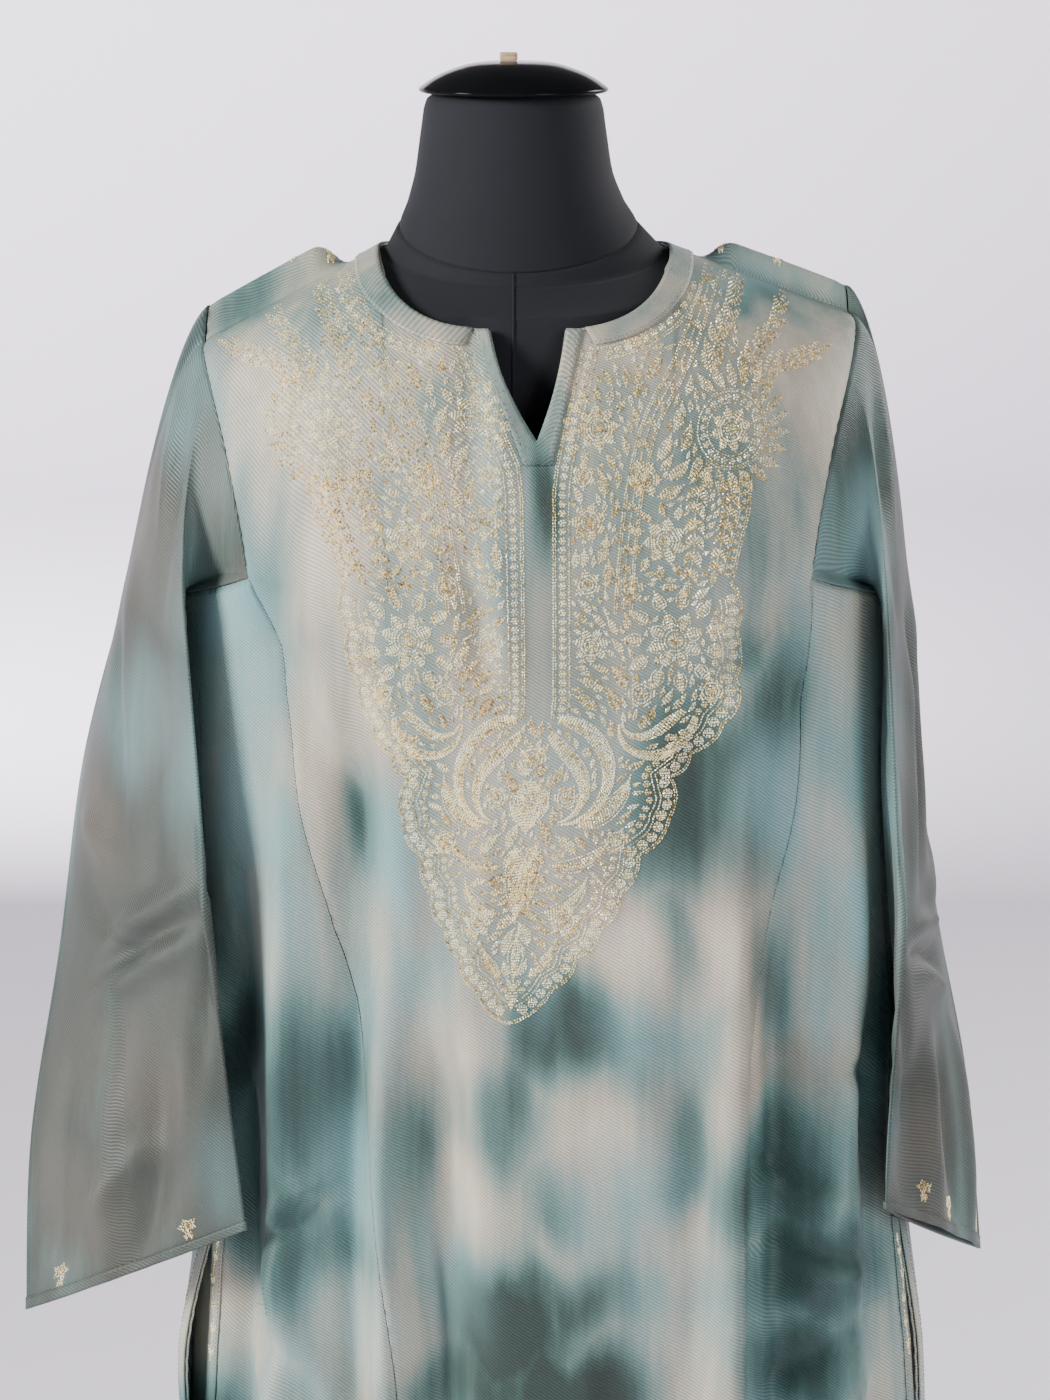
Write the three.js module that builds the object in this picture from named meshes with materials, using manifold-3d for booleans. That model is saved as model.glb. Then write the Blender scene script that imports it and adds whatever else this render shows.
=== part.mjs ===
// A worn pheran, a long loose tunic, on a limbless dress form with its stand.
// Millimetres, +Z up, front towards -Y. The origin is the middle of the stand's underside.
// Left and right are as seen from the front, so left is -X.

import * as THREE from "three";
import { mergeVertices } from "three/addons/utils/BufferGeometryUtils.js";
import Module from "manifold-3d";

const wasm = await Module();
wasm.setup();

// Driving dimensions
const CLOTH = 1.2;
const TRIM = 0.9;
const SEAM = 0.3;
const HEM_Z = 330;
const CHEST_Z = 1205;
const UNDERARM_Z = 1182;
const NECK_POINT_Z = 1396;
const NECK_ARCH = 8;
const NECK_LEFT_X = -82;
const NECK_RIGHT_X = 95;
const TIP_LEFT_X = -191;
const TIP_RIGHT_X = 207;
const SLOPE_LEFT = 0.54;
const SLOPE_RIGHT = 0.36;
const FRONT_DROP_POWER = 1.12;
const BACK_DROP_POWER = { middle: 0.5, outside: 0.95, from: 60, to: 130 };
const SIDE_SEAM_LEFT = THREE.MathUtils.degToRad(158);
const SIDE_SEAM_RIGHT = THREE.MathUtils.degToRad(17);
const FORM_GAP = 0.7;

const { lerp, smoothstep, clamp } = THREE.MathUtils;
const signedPower = (value, power) => Math.sign(value) * Math.pow(Math.abs(value), power);
const bell = (distance) => Math.exp(-distance * distance);

// Reads a column of a table at a place along its key column, with a smooth curve through the rows.
function read(rows, key, at, column) {
  const down = rows[0][key] > rows[rows.length - 1][key];
  const last = rows.length - 1;
  let i = 0;
  while (i < last - 1 && (down ? at < rows[i + 1][key] : at > rows[i + 1][key])) i += 1;
  const t = clamp((at - rows[i][key]) / (rows[i + 1][key] - rows[i][key]), 0, 1);
  const [p0, p1, p2, p3] = [Math.max(i - 1, 0), i, i + 1, Math.min(i + 2, last)].map((k) => rows[k][column]);
  const slope1 = (p2 - p0) / 2;
  const slope2 = (p3 - p1) / 2;
  const t2 = t * t;
  const t3 = t2 * t;
  return (2 * t3 - 3 * t2 + 1) * p1 + (t3 - 2 * t2 + t) * slope1 + (3 * t2 - 2 * t3) * p2 + (t3 - t2) * slope2;
}

// Level sections of the cloth round the body, from the chest to the hem.
const SECTIONS = [
  { z: 1205, middle: 10, half: 210, front: 134, back: 112, power: 2.4 },
  { z: 1100, middle: 12, half: 212, front: 131, back: 112, power: 2.35 },
  { z: 1000, middle: 15, half: 214, front: 127, back: 114, power: 2.3 },
  { z: 900, middle: 19, half: 220, front: 127, back: 118, power: 2.25 },
  { z: 800, middle: 23, half: 229, front: 131, back: 124, power: 2.2 },
  { z: 700, middle: 26, half: 238, front: 137, back: 131, power: 2.15 },
  { z: 520, middle: 27, half: 252, front: 150, back: 144, power: 2.1 },
  { z: 330, middle: 27, half: 268, front: 163, back: 157, power: 2.05 },
];

// Where the long front seams run: the middle panel narrows between them as the side panels flare.
const FRONT_SEAMS = [
  { z: 1205, left: -161, right: 181 },
  { z: 1164, left: -142, right: 179 },
  { z: 1067, left: -130, right: 174 },
  { z: 987, left: -112, right: 161 },
  { z: 942, left: -101, right: 152 },
  { z: 854, left: -91, right: 145 },
  { z: 710, left: -72, right: 148 },
  { z: 520, left: -62, right: 150 },
  { z: 330, left: -56, right: 152 },
];

const BACK_SEAMS = [
  { z: 1205, left: -158, right: 178 },
  { z: 1067, left: -132, right: 160 },
  { z: 942, left: -112, right: 146 },
  { z: 710, left: -90, right: 138 },
  { z: 330, left: -78, right: 136 },
];

// Where the armholes run on the front and back, from the chest (rise 0) to the shoulder tip (rise 1).
const ARMHOLES = [
  { rise: 0, frontLeft: -161, frontRight: 181, backLeft: -158, backRight: 178 },
  { rise: 0.3, frontLeft: -173, frontRight: 193, backLeft: -166, backRight: 184 },
  { rise: 0.6, frontLeft: -186, frontRight: 207, backLeft: -176, backRight: 194 },
  { rise: 0.85, frontLeft: -192, frontRight: 211, backLeft: -186, backRight: 203 },
  { rise: 1, frontLeft: TIP_LEFT_X, frontRight: TIP_RIGHT_X, backLeft: TIP_LEFT_X, backRight: TIP_RIGHT_X },
];

// The largest folds. x is where one stands at its top and at the hem; a negative depth is a trough.
const FRONT_FOLDS = [
  { xTop: -98, xHem: -104, top: 1160, grown: 1060, width: 15, depth: -5 },
  { xTop: -58, xHem: -38, top: 1010, grown: 850, width: 17, depth: -10 },
  { xTop: -86, xHem: -78, top: 1000, grown: 820, width: 15, depth: 7 },
  { xTop: 138, xHem: 122, top: 1060, grown: 880, width: 16, depth: 8 },
  { xTop: 164, xHem: 176, top: 1090, grown: 900, width: 15, depth: -9 },
  { xTop: 199, xHem: 214, top: 1130, grown: 960, width: 14, depth: 6 },
  { xTop: -136, xHem: -150, top: 1120, grown: 930, width: 14, depth: 7 },
  { xTop: -164, xHem: -182, top: 1080, grown: 880, width: 15, depth: -7 },
  { xTop: 18, xHem: 14, top: 830, grown: 500, width: 26, depth: 9 },
  { xTop: 64, xHem: 70, top: 760, grown: 470, width: 24, depth: -10 },
];

const BACK_FOLDS = [
  { xTop: -150, xHem: -170, top: 1110, grown: 900, width: 16, depth: 7 },
  { xTop: -112, xHem: -118, top: 1060, grown: 850, width: 17, depth: -9 },
  { xTop: -64, xHem: -62, top: 1020, grown: 790, width: 20, depth: 9 },
  { xTop: -14, xHem: -8, top: 960, grown: 700, width: 22, depth: -9 },
  { xTop: 40, xHem: 48, top: 1010, grown: 780, width: 20, depth: 8 },
  { xTop: 92, xHem: 100, top: 1070, grown: 840, width: 18, depth: -9 },
  { xTop: 146, xHem: 160, top: 1100, grown: 880, width: 17, depth: 8 },
  { xTop: 190, xHem: 214, top: 1080, grown: 860, width: 15, depth: -6 },
];

// The pockets in the side seams: their mouths and how far the back edge gapes.
const POCKET = {
  middle: 691.4, half: 92, band: 13, firstRow: 7, lastRow: 12,
  gapeLeft: 11, gapeRight: 4, reach: 0.2,
};

// The rolls of spare cloth that lie over the shoulder just behind the seam.
const ROLL = { low: 0.74, left: 24, right: 19, starts: 17, full: 42 };

function sectionAt(z) {
  const at = (column) => read(SECTIONS, "z", clamp(z, HEM_Z, CHEST_Z), column);
  return { middle: at("middle"), half: at("half"), front: at("front"), back: at("back"), power: at("power") };
}

// The angle round the body, 0 at the right and a quarter turn at the front, of a place across one face.
function angleAt(x, z, face) {
  const s = sectionAt(z);
  const share = clamp((x - s.middle) / s.half, -1, 1);
  const angle = Math.acos(signedPower(share, s.power / 2));
  return face === "front" ? angle : 2 * Math.PI - angle;
}

function foldHeight(angle, z) {
  const wrapped = ((angle % (2 * Math.PI)) + 2 * Math.PI) % (2 * Math.PI);
  const face = wrapped < Math.PI ? "front" : "back";
  const folds = face === "front" ? FRONT_FOLDS : BACK_FOLDS;
  const s = sectionAt(z);
  let height = 0;
  for (const fold of folds) {
    const down = clamp((CHEST_Z - z) / (CHEST_Z - HEM_Z), 0, 1);
    const there = angleAt(lerp(fold.xTop, fold.xHem, down), z, face);
    const away = ((wrapped - there) * (s.half + s.front)) / 2 / fold.width;
    height += fold.depth * bell(away) * (1 - smoothstep(z, fold.grown, fold.top));
  }
  return height;
}

// The pocket's back edge stands off near its side seam.
function pocketGape(angle, z) {
  const share = Math.pow(Math.max(0, 1 - ((z - POCKET.middle) / POCKET.half) ** 2), 1.4);
  const isLeft = angle > Math.PI / 2 && angle < Math.PI * 1.5;
  const past = isLeft ? angle - SIDE_SEAM_LEFT : SIDE_SEAM_RIGHT - (angle > Math.PI ? angle - 2 * Math.PI : angle);
  if (past < -0.001) return 0;
  return share * (isLeft ? POCKET.gapeLeft : POCKET.gapeRight) * bell(Math.max(past, 0) / POCKET.reach);
}

// The cloth round the body below the chest, at an angle and a height.
function bodyPoint(angle, z, gaping = false) {
  const s = sectionAt(z);
  const cos = Math.cos(angle);
  const sin = Math.sin(angle);
  const deep = sin > 0 ? s.front : s.back;
  const x = s.half * signedPower(cos, 2 / s.power);
  const y = -deep * signedPower(sin, 2 / s.power);
  const out = new THREE.Vector3(x / s.half ** 2, y / deep ** 2, 0).normalize();
  const height = foldHeight(angle, z) + (gaping ? pocketGape(angle, z) : 0);
  return new THREE.Vector3(s.middle + x, y, z).addScaledVector(out, height);
}

function shoulderZ(x) {
  if (x < NECK_LEFT_X) return NECK_POINT_Z - SLOPE_LEFT * (NECK_LEFT_X - x);
  if (x > NECK_RIGHT_X) return NECK_POINT_Z - SLOPE_RIGHT * (x - NECK_RIGHT_X);
  const across = (2 * (x - NECK_LEFT_X)) / (NECK_RIGHT_X - NECK_LEFT_X) - 1;
  return NECK_POINT_Z + NECK_ARCH * (1 - across * across);
}

// The cloth over the chest and shoulders: x across, and rise from 0 at the chest to 1 at the shoulder seam.
function yokePoint(x, rise, face) {
  const turn = (Math.min(rise, 1.999) * Math.PI) / 2;
  const low = bodyPoint(angleAt(x, CHEST_Z, face), CHEST_Z);
  const fromMiddle = Math.abs(x - (NECK_LEFT_X + NECK_RIGHT_X) / 2);
  const outside = smoothstep(fromMiddle, BACK_DROP_POWER.from, BACK_DROP_POWER.to);
  const backPower = lerp(BACK_DROP_POWER.middle, BACK_DROP_POWER.outside, outside);
  const seamY = face === "front" ? -SEAM / 2 : SEAM / 2;
  const y = seamY + (low.y - seamY) * signedPower(Math.cos(turn), face === "front" ? FRONT_DROP_POWER : backPower);
  const z = CHEST_Z + (shoulderZ(x) - CHEST_Z) * Math.sin(turn);
  const fromNeck = x < 0 ? NECK_LEFT_X - x : x - NECK_RIGHT_X;
  const beyond = smoothstep(fromNeck, ROLL.starts, ROLL.full);
  const swell = Math.sin(Math.PI * clamp((rise - ROLL.low) / (1 - ROLL.low), 0, 1)) ** 2;
  const roll = face === "back" ? beyond * swell * (x < 0 ? ROLL.left : ROLL.right) : 0;
  return new THREE.Vector3(x, y - roll * 0.35, z + roll);
}

// A panel is a function of u across and v along. This gives its outward normal by small steps.
// The steps to each side are evened out by themselves, so that a crease's normal halves its angle.
function normalAt(surface, u, v, outward) {
  const step = 2e-3;
  const here = surface(u, v);
  const before = here.clone().sub(surface(u - step, v)).normalize();
  const after = surface(u + step, v).sub(here).normalize();
  const up = surface(u, v + step).sub(surface(u, v - step));
  const sum = before.cross(up).normalize().add(after.cross(up).normalize());
  return sum.normalize().multiplyScalar(outward);
}

// A wall of cloth between two layers: the surface's points moved out, and the same points moved in, with rims.
const PANEL = { out: 0, in: -CLOTH };
const ON_TOP = { out: SEAM + TRIM, in: SEAM };
const AT_NECK = { out: 0.5 + TRIM, in: 0.5 };
const BEHIND = { out: -CLOTH - 0.9, in: -CLOTH - 0.9 - TRIM };

function clothWall(surface, us, vs, outward, layers = PANEL, round = false) {
  const outer = [];
  const inner = [];
  for (const v of vs)
    for (const u of us) {
      const point = surface(u, v);
      const normal = normalAt(surface, u, v, outward);
      outer.push(point.clone().addScaledVector(normal, layers.out));
      inner.push(point.clone().addScaledVector(normal, layers.in));
    }
  return closedShell(outer, inner, us.length, vs.length, round, outward);
}

const evenly = (count, round = false) => Array.from({ length: round ? count : count + 1 }, (_, i) => i / count);

function closedShell(outer, inner, across, down, round, outward) {
  const points = [...outer, ...inner];
  const faces = [];
  const count = outer.length;
  const quad = (a, b, c, d) => {
    if (outward > 0) faces.push(a, b, c, a, c, d);
    else faces.push(a, c, b, a, d, c);
  };
  const at = (i, j) => j * across + (round ? i % across : i);
  const columns = round ? across : across - 1;
  for (let j = 0; j < down - 1; j += 1)
    for (let i = 0; i < columns; i += 1) {
      const corners = [at(i, j), at(i + 1, j), at(i + 1, j + 1), at(i, j + 1)];
      quad(...corners);
      quad(...corners.reverse().map((k) => k + count));
    }
  for (let i = 0; i < columns; i += 1) {
    quad(at(i, 0), at(i, 0) + count, at(i + 1, 0) + count, at(i + 1, 0));
    quad(at(i + 1, down - 1), at(i + 1, down - 1) + count, at(i, down - 1) + count, at(i, down - 1));
  }
  if (!round)
    for (let j = 0; j < down - 1; j += 1) {
      quad(at(0, j + 1), at(0, j + 1) + count, at(0, j) + count, at(0, j));
      quad(at(columns, j), at(columns, j) + count, at(columns, j + 1) + count, at(columns, j + 1));
    }
  const geometry = new THREE.BufferGeometry();
  geometry.setAttribute("position", new THREE.Float32BufferAttribute(points.flatMap((p) => [p.x, p.y, p.z]), 3));
  geometry.setIndex(faces);
  return geometry;
}

function solidOf(geometry) {
  const bare = geometry.clone();
  bare.deleteAttribute("normal");
  bare.deleteAttribute("uv");
  const merged = mergeVertices(bare, 1e-4);
  const mesh = new wasm.Mesh({
    numProp: 3,
    vertProperties: merged.attributes.position.array,
    triVerts: new Uint32Array(merged.index.array),
  });
  return new wasm.Manifold(mesh);
}

function geometryOf(solid) {
  const mesh = solid.getMesh();
  const geometry = new THREE.BufferGeometry();
  geometry.setAttribute("position", new THREE.Float32BufferAttribute(mesh.vertProperties, mesh.numProp));
  geometry.setIndex([...mesh.triVerts]);
  return geometry;
}

// The middle panels: below the chest they lie between the long seams, above it between the armholes.
const BODY_ROWS = 23;
const YOKE_RISES = [0, 0.15, 0.3, 0.45, 0.58, 0.7, 0.8, 0.88, 0.94, 1];
const CHEST_V = 0.75;
const MIDDLE_ROWS = [
  ...Array.from({ length: BODY_ROWS }, (_, k) => (CHEST_V * k) / BODY_ROWS),
  ...YOKE_RISES.map((rise) => lerp(CHEST_V, 1, rise)),
];

function middlePanel(face) {
  const seams = face === "front" ? FRONT_SEAMS : BACK_SEAMS;
  return (u, v) => {
    if (v < CHEST_V) {
      const z = lerp(HEM_Z, CHEST_Z, v / CHEST_V);
      const x = lerp(read(seams, "z", z, "left"), read(seams, "z", z, "right"), u);
      return bodyPoint(angleAt(x, z, face), z);
    }
    const rise = (v - CHEST_V) / (1 - CHEST_V);
    const x = lerp(read(ARMHOLES, "rise", rise, face + "Left"), read(ARMHOLES, "rise", rise, face + "Right"), u);
    return yokePoint(x, rise, face);
  };
}

const SEAM_TRIM = 0.2;

// Trims a panel's own range so that it ends half a seam gap short of its edges, in millimetres.
function trimmed(surface, width, length, edges) {
  const [left, right, low, high] = edges.map((on) => (on ? SEAM_TRIM : 0));
  return (u, v) => surface(lerp(left / width, 1 - right / width, u), lerp(low / length, 1 - high / length, v));
}

// The angle of a long seam at a height, counted on past zero round the right side.
function longSeamAngle(z, face, side) {
  const seams = face === "front" ? FRONT_SEAMS : BACK_SEAMS;
  const angle = angleAt(read(seams, "z", z, side), z, face);
  return side === "right" && face === "back" ? angle - 2 * Math.PI : angle;
}

// The bottom of the armhole is lowest under the arm and meets the chest line at the long seams.
function armholeFloor(angle, side) {
  const underarm = side === "left" ? Math.PI : 0;
  const isFront = side === "left" ? angle < underarm : angle > underarm;
  const chest = longSeamAngle(CHEST_Z, isFront ? "front" : "back", side);
  return lerp(UNDERARM_Z, CHEST_Z, Math.abs((angle - underarm) / (chest - underarm)) ** 1.7);
}

const sideSeamAngle = (side) => (side === "left" ? SIDE_SEAM_LEFT : SIDE_SEAM_RIGHT);

// Where a side panel's top edge lies, found by a few repeats because seam and floor depend on each other.
function sideTop(u, face, side) {
  let z = CHEST_Z;
  let angle = 0;
  for (let i = 0; i < 12; i += 1) {
    angle = lerp(sideSeamAngle(side), longSeamAngle(z, face, side), u);
    z = Math.min(armholeFloor(angle, side), CHEST_Z);
  }
  return { z, angle };
}

// The side panels run from a side seam to a long seam and end at the bottom of the armhole.
const LEVEL_ROWS = 20;

function sidePanel(face, side) {
  const level = LEVEL_ROWS / BODY_ROWS;
  return (u, v) => {
    const top = sideTop(clamp(u, 0, 1), face, side).z;
    const levelZ = lerp(HEM_Z, CHEST_Z, Math.min(v, level));
    const z = lerp(levelZ, top, Math.max(0, (v - level) / (1 - level)));
    return bodyPoint(lerp(sideSeamAngle(side), longSeamAngle(z, face, side), u), z, face === "back");
  };
}

// The armhole as one closed curve on the cloth: turn 0 is under the arm, half a turn the shoulder tip.
const SIDE_SHARE = 0.3;

function armholePoint(turn, side, outset = 0) {
  const wrapped = turn - Math.floor(turn);
  const face = wrapped <= 0.5 ? "front" : "back";
  const share = (wrapped <= 0.5 ? wrapped : 1 - wrapped) * 2;
  const column = face + (side === "left" ? "Left" : "Right");
  const outwards = side === "left" ? -1 : 1;
  if (share > SIDE_SHARE) {
    const rise = (share - SIDE_SHARE) / (1 - SIDE_SHARE);
    return yokePoint(read(ARMHOLES, "rise", rise, column) + outwards * outset, rise, face);
  }
  const angle = lerp(side === "left" ? Math.PI : 0, longSeamAngle(CHEST_Z, face, side), share / SIDE_SHARE);
  return bodyPoint(angle, armholeFloor(angle, side) + outset);
}

// The turns at which a sleeve meets the panels' own points.
const SIDE_COLUMNS = 10;
const FRONT_SIDE_STEP = 3;

function sleeveTurns(side) {
  const turns = [];
  const underarm = side === "left" ? Math.PI : 0;
  for (const face of ["front", "back"])
    for (let i = 0; i < SIDE_COLUMNS; i += face === "front" ? FRONT_SIDE_STEP : 1) {
      const { angle } = sideTop(i / SIDE_COLUMNS, face, side);
      const isFront = side === "left" ? angle < underarm : angle > underarm;
      const chest = longSeamAngle(CHEST_Z, isFront ? "front" : "back", side);
      const turn = (Math.abs((angle - underarm) / (chest - underarm)) * SIDE_SHARE) / 2;
      turns.push(isFront ? turn : 1 - turn);
    }
  for (const rise of YOKE_RISES) {
    const turn = lerp(SIDE_SHARE, 1, rise) / 2;
    turns.push(turn);
    if (rise < 1) turns.push(1 - turn);
  }
  turns.push(CREASE_TURN, 1 - CREASE_TURN);
  turns.sort((a, b) => a - b);
  return turns.filter((turn, i) => i === 0 || turn - turns[i - 1] > 2e-3);
}

// Sleeve sections below the armhole. front and back are the pressed creases, outer and inner the fullness between.
const SLEEVES = {
  left: [
    { s: 0, frontX: -199, frontY: -90, frontZ: 1184, backX: -252, backY: 74, backZ: 1160, outer: 15, inner: 7 },
    { s: 0.3, frontX: -191, frontY: -100, frontZ: 1070, backX: -279, backY: 58, backZ: 1058, outer: 15, inner: 7 },
    { s: 0.55, frontX: -184, frontY: -106, frontZ: 972, backX: -294, backY: 28, backZ: 940, outer: 14, inner: 8 },
    { s: 0.78, frontX: -175, frontY: -109, frontZ: 880, backX: -312, backY: -4, backZ: 822, outer: 13, inner: 9 },
    { s: 1, frontX: -166, frontY: -113, frontZ: 798, backX: -315, backY: -30, backZ: 713, outer: 11, inner: 12 },
  ],
  right: [
    { s: 0, frontX: 226, frontY: -90, frontZ: 1184, backX: 252, backY: 76, backZ: 1164, outer: 8, inner: 8 },
    { s: 0.3, frontX: 233, frontY: -96, frontZ: 1068, backX: 263, backY: 74, backZ: 1060, outer: 7, inner: 9 },
    { s: 0.55, frontX: 238, frontY: -100, frontZ: 967, backX: 277, backY: 66, backZ: 952, outer: 8, inner: 9 },
    { s: 0.78, frontX: 233, frontY: -106, frontZ: 878, backX: 297, backY: 50, backZ: 846, outer: 11, inner: 7 },
    { s: 1, frontX: 231, frontY: -108, frontZ: 810, backX: 308, backY: 38, backZ: 729, outer: 12, inner: 8 },
  ],
};
const CREASE_TURN = 0.34;
const CREASE_SHARPNESS = 2.4;
const CUFF_BAND = 11;
const SLEEVE_HANG = 430;
const SLEEVE_ROWS = 16;
const cuffShare = 1 - CUFF_BAND / SLEEVE_HANG;

// A flattened sleeve loop at s down the sleeve and at a turn round it.
function hangingPoint(turn, s, side) {
  const wrapped = turn - Math.floor(turn + 0.5);
  const at = (column) => read(SLEEVES[side], "s", s, column);
  const front = new THREE.Vector3(at("frontX"), at("frontY"), at("frontZ"));
  const back = new THREE.Vector3(at("backX"), at("backY"), at("backZ"));
  const isInner = Math.abs(wrapped) <= CREASE_TURN;
  const fromTop = wrapped - Math.sign(wrapped) * 0.5;
  const across = isInner ? wrapped / CREASE_TURN : -fromTop / (0.5 - CREASE_TURN);
  const fullness = (isInner ? -at("inner") : at("outer")) * (1 - Math.pow(Math.abs(across), CREASE_SHARPNESS));
  const width = front.clone().sub(back);
  const away = new THREE.Vector3(-width.y, width.x, 0).normalize();
  if (away.x * (side === "left" ? -1 : 1) < 0) away.negate();
  return back.lerp(front, (across + 1) / 2).addScaledVector(away, fullness);
}

const ARMHOLE_V = 0.36;
const SLEEVE_LEAVES = { under: 16, top: 70 };
const SLEEVE_ARRIVES = { under: 22, top: 190 };

// The way the sleeve leaves its armhole, evened out over the corner at the chest line.
function headingAt(turn, side) {
  const sum = new THREE.Vector3();
  for (const step of [-0.03, -0.015, 0, 0.015, 0.03])
    sum.add(armholePoint(turn + step, side, 3).sub(armholePoint(turn + step, side, 0)));
  return sum.normalize();
}

// The sleeve: it leaves the armhole along the body's cloth, turns over and hangs down to the cuff.
function sleeve(side) {
  return (u, v) => {
    if (v > ARMHOLE_V) return hangingPoint(u, (v - ARMHOLE_V) / (1 - ARMHOLE_V), side);
    const t = clamp(v / ARMHOLE_V, -0.02, 1);
    const start = armholePoint(u, side, u > 0.5 && u < 0.65 ? SEAM * 2 : SEAM / 2);
    const heading = headingAt(u, side);
    const end = hangingPoint(u, 0, side);
    const down = hangingPoint(u, 0.05, side).sub(end).normalize();
    const height = (1 - Math.cos(u * 2 * Math.PI)) / 2;
    const leave = heading.multiplyScalar(lerp(SLEEVE_LEAVES.under, SLEEVE_LEAVES.top, height));
    const arrive = down.multiplyScalar(lerp(SLEEVE_ARRIVES.under, SLEEVE_ARRIVES.top, height));
    const t2 = t * t;
    const t3 = t2 * t;
    return start
      .multiplyScalar(2 * t3 - 3 * t2 + 1)
      .addScaledVector(leave, t3 - 2 * t2 + t)
      .addScaledVector(end, 3 * t2 - 2 * t3)
      .addScaledVector(arrive, t3 - t2);
  };
}

// The neckline as a closed curve round the neck: turn 0 at the right neck point, a quarter turn at the front.
const NECK = { frontRise: 0.541, backRise: 0.797, frontPower: 0.62, backPower: 0.8, acrossPower: 0.68 };
const NECK_MIDDLE = (NECK_LEFT_X + NECK_RIGHT_X) / 2;
const NECK_HALF = (NECK_RIGHT_X - NECK_LEFT_X) / 2;

function neckPlace(turn, out) {
  const angle = turn * 2 * Math.PI;
  const cos = Math.cos(angle);
  const sin = Math.sin(angle);
  const isFront = sin >= 0;
  const depth = isFront ? 1 - NECK.frontRise + out / 330 : 1 - NECK.backRise + out / 420;
  const drop = depth * Math.pow(Math.abs(sin), isFront ? NECK.frontPower : NECK.backPower);
  const x = NECK_MIDDLE + (NECK_HALF + out) * signedPower(cos, NECK.acrossPower);
  return { x, rise: 1 - drop, face: isFront ? "front" : "back" };
}

function neckPoint(turn, out) {
  const place = neckPlace(turn, out);
  return yokePoint(place.x, place.rise, place.face);
}

// The turn and the rise at which the neckline passes a place across the front or back.
function neckTurnAt(x) {
  const share = clamp((x - NECK_MIDDLE) / NECK_HALF, -1, 1);
  return Math.acos(signedPower(share, 1 / NECK.acrossPower)) / (2 * Math.PI);
}

function neckRiseAt(x, face) {
  const turn = neckTurnAt(x);
  return neckPlace(face === "front" ? turn : 1 - turn, 0).rise;
}

// The slit at the front: its top corners, its foot, and the outer line of its facing.
const SLIT = { leftX: -14, rightX: 31, footX: 14, footZ: 1293 };
const SLIT_FACING = { leftX: -23, rightX: 41, footLeftX: 6, footRightX: 23, footZ: 1279 };

// The height and place on the front of a point of the front view.
function riseAt(x, z) {
  return (Math.asin(clamp((z - CHEST_Z) / (shoulderZ(x) - CHEST_Z), -1, 1)) * 2) / Math.PI;
}

function frontAt(x, z) {
  return yokePoint(x, riseAt(x, z), "front");
}

function slitTopZ(x) {
  return yokePoint(x, neckRiseAt(x, "front"), "front").z;
}

function slitEdge(t, side) {
  const topX = side === "left" ? SLIT.leftX : SLIT.rightX;
  const x = lerp(topX, SLIT.footX, t * t * 0.55 + t * 0.45);
  return { x, z: lerp(slitTopZ(topX), SLIT.footZ, t) };
}

// The block that opens the neck and slit, seen from the front and pushed through one side's cloth.
function neckBlock(face) {
  const outline = [];
  const steps = 40;
  let slitDone = face !== "front";
  for (let i = 0; i <= steps; i += 1) {
    const turn = face === "front" ? (i / steps) * 0.5 : 1 - (i / steps) * 0.5;
    const x = neckPlace(turn, 0).x;
    if (!slitDone && x < SLIT.rightX) {
      for (let k = 0; k <= 6; k += 1) outline.push(slitEdge(k / 6, "right"));
      for (let k = 5; k >= 0; k -= 1) outline.push(slitEdge(k / 6, "left"));
      slitDone = true;
    }
    if (face === "front" && x < SLIT.rightX && x > SLIT.leftX) continue;
    outline.push({ x, z: yokePoint(x, neckRiseAt(x, face), face).z });
  }
  outline.push({ x: NECK_LEFT_X, z: NECK_POINT_Z + 40 }, { x: NECK_RIGHT_X, z: NECK_POINT_Z + 40 });
  const shape = new THREE.Shape(outline.map((p) => new THREE.Vector2(p.x, p.z)));
  const geometry = new THREE.ExtrudeGeometry(shape, { depth: 300, bevelEnabled: false });
  geometry.rotateX(Math.PI / 2);
  geometry.translate(0, face === "front" ? 0.05 : 299.95, 0);
  return solidOf(geometry);
}

// Strips that lie on the cloth, made from its points and moved out.
const NECK_BAND = { from: 0.6, to: 15 };

const bandStart = () => neckTurnAt(SLIT_FACING.leftX - 1.5);
const bandEnd = () => neckTurnAt(SLIT_FACING.rightX + 1.5) + 1;

function neckBand() {
  return (u, v) => neckPoint(lerp(bandStart(), bandEnd(), u), lerp(NECK_BAND.from, NECK_BAND.to, v));
}

// The columns of the band stand closer where it bends over the shoulder seams.
const BAND_STEPS = 22;

function bandColumns() {
  const turns = [];
  for (let k = 0; k < BAND_STEPS * 3; k += 1) {
    const share = (k % BAND_STEPS) / BAND_STEPS;
    const closer = share - (0.7 * Math.sin(2 * Math.PI * share)) / (2 * Math.PI);
    turns.push((Math.floor(k / BAND_STEPS) + closer) / 2);
  }
  const [from, to] = [bandStart(), bandEnd()];
  const inside = turns.filter((turn) => turn > from + 0.004 && turn < to - 0.004);
  return [0, ...inside.map((turn) => (turn - from) / (to - from)), 1];
}

function slitFacing() {
  return (u, v) => {
    const side = u < 0.5 ? "left" : "right";
    const t = u < 0.5 ? u * 2 : 2 - u * 2;
    const inner = slitEdge(Math.min(t, 0.999), side);
    inner.x += (side === "left" ? -0.5 : 0.5) * (1 - t);
    inner.z -= 0.6 * t;
    const topX = side === "left" ? SLIT_FACING.leftX : SLIT_FACING.rightX;
    const footX = side === "left" ? SLIT_FACING.footLeftX : SLIT_FACING.footRightX;
    const topZ = slitTopZ(topX) - 1;
    const corner = 0.85;
    const outX = t < corner ? lerp(topX, footX, t / corner) : lerp(footX, SLIT.footX, (t - corner) / (1 - corner));
    const outZ = t < corner ? lerp(topZ, SLIT_FACING.footZ, t / corner) : SLIT_FACING.footZ;
    return frontAt(lerp(inner.x, outX, v), lerp(inner.z, outZ, v));
  };
}

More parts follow.
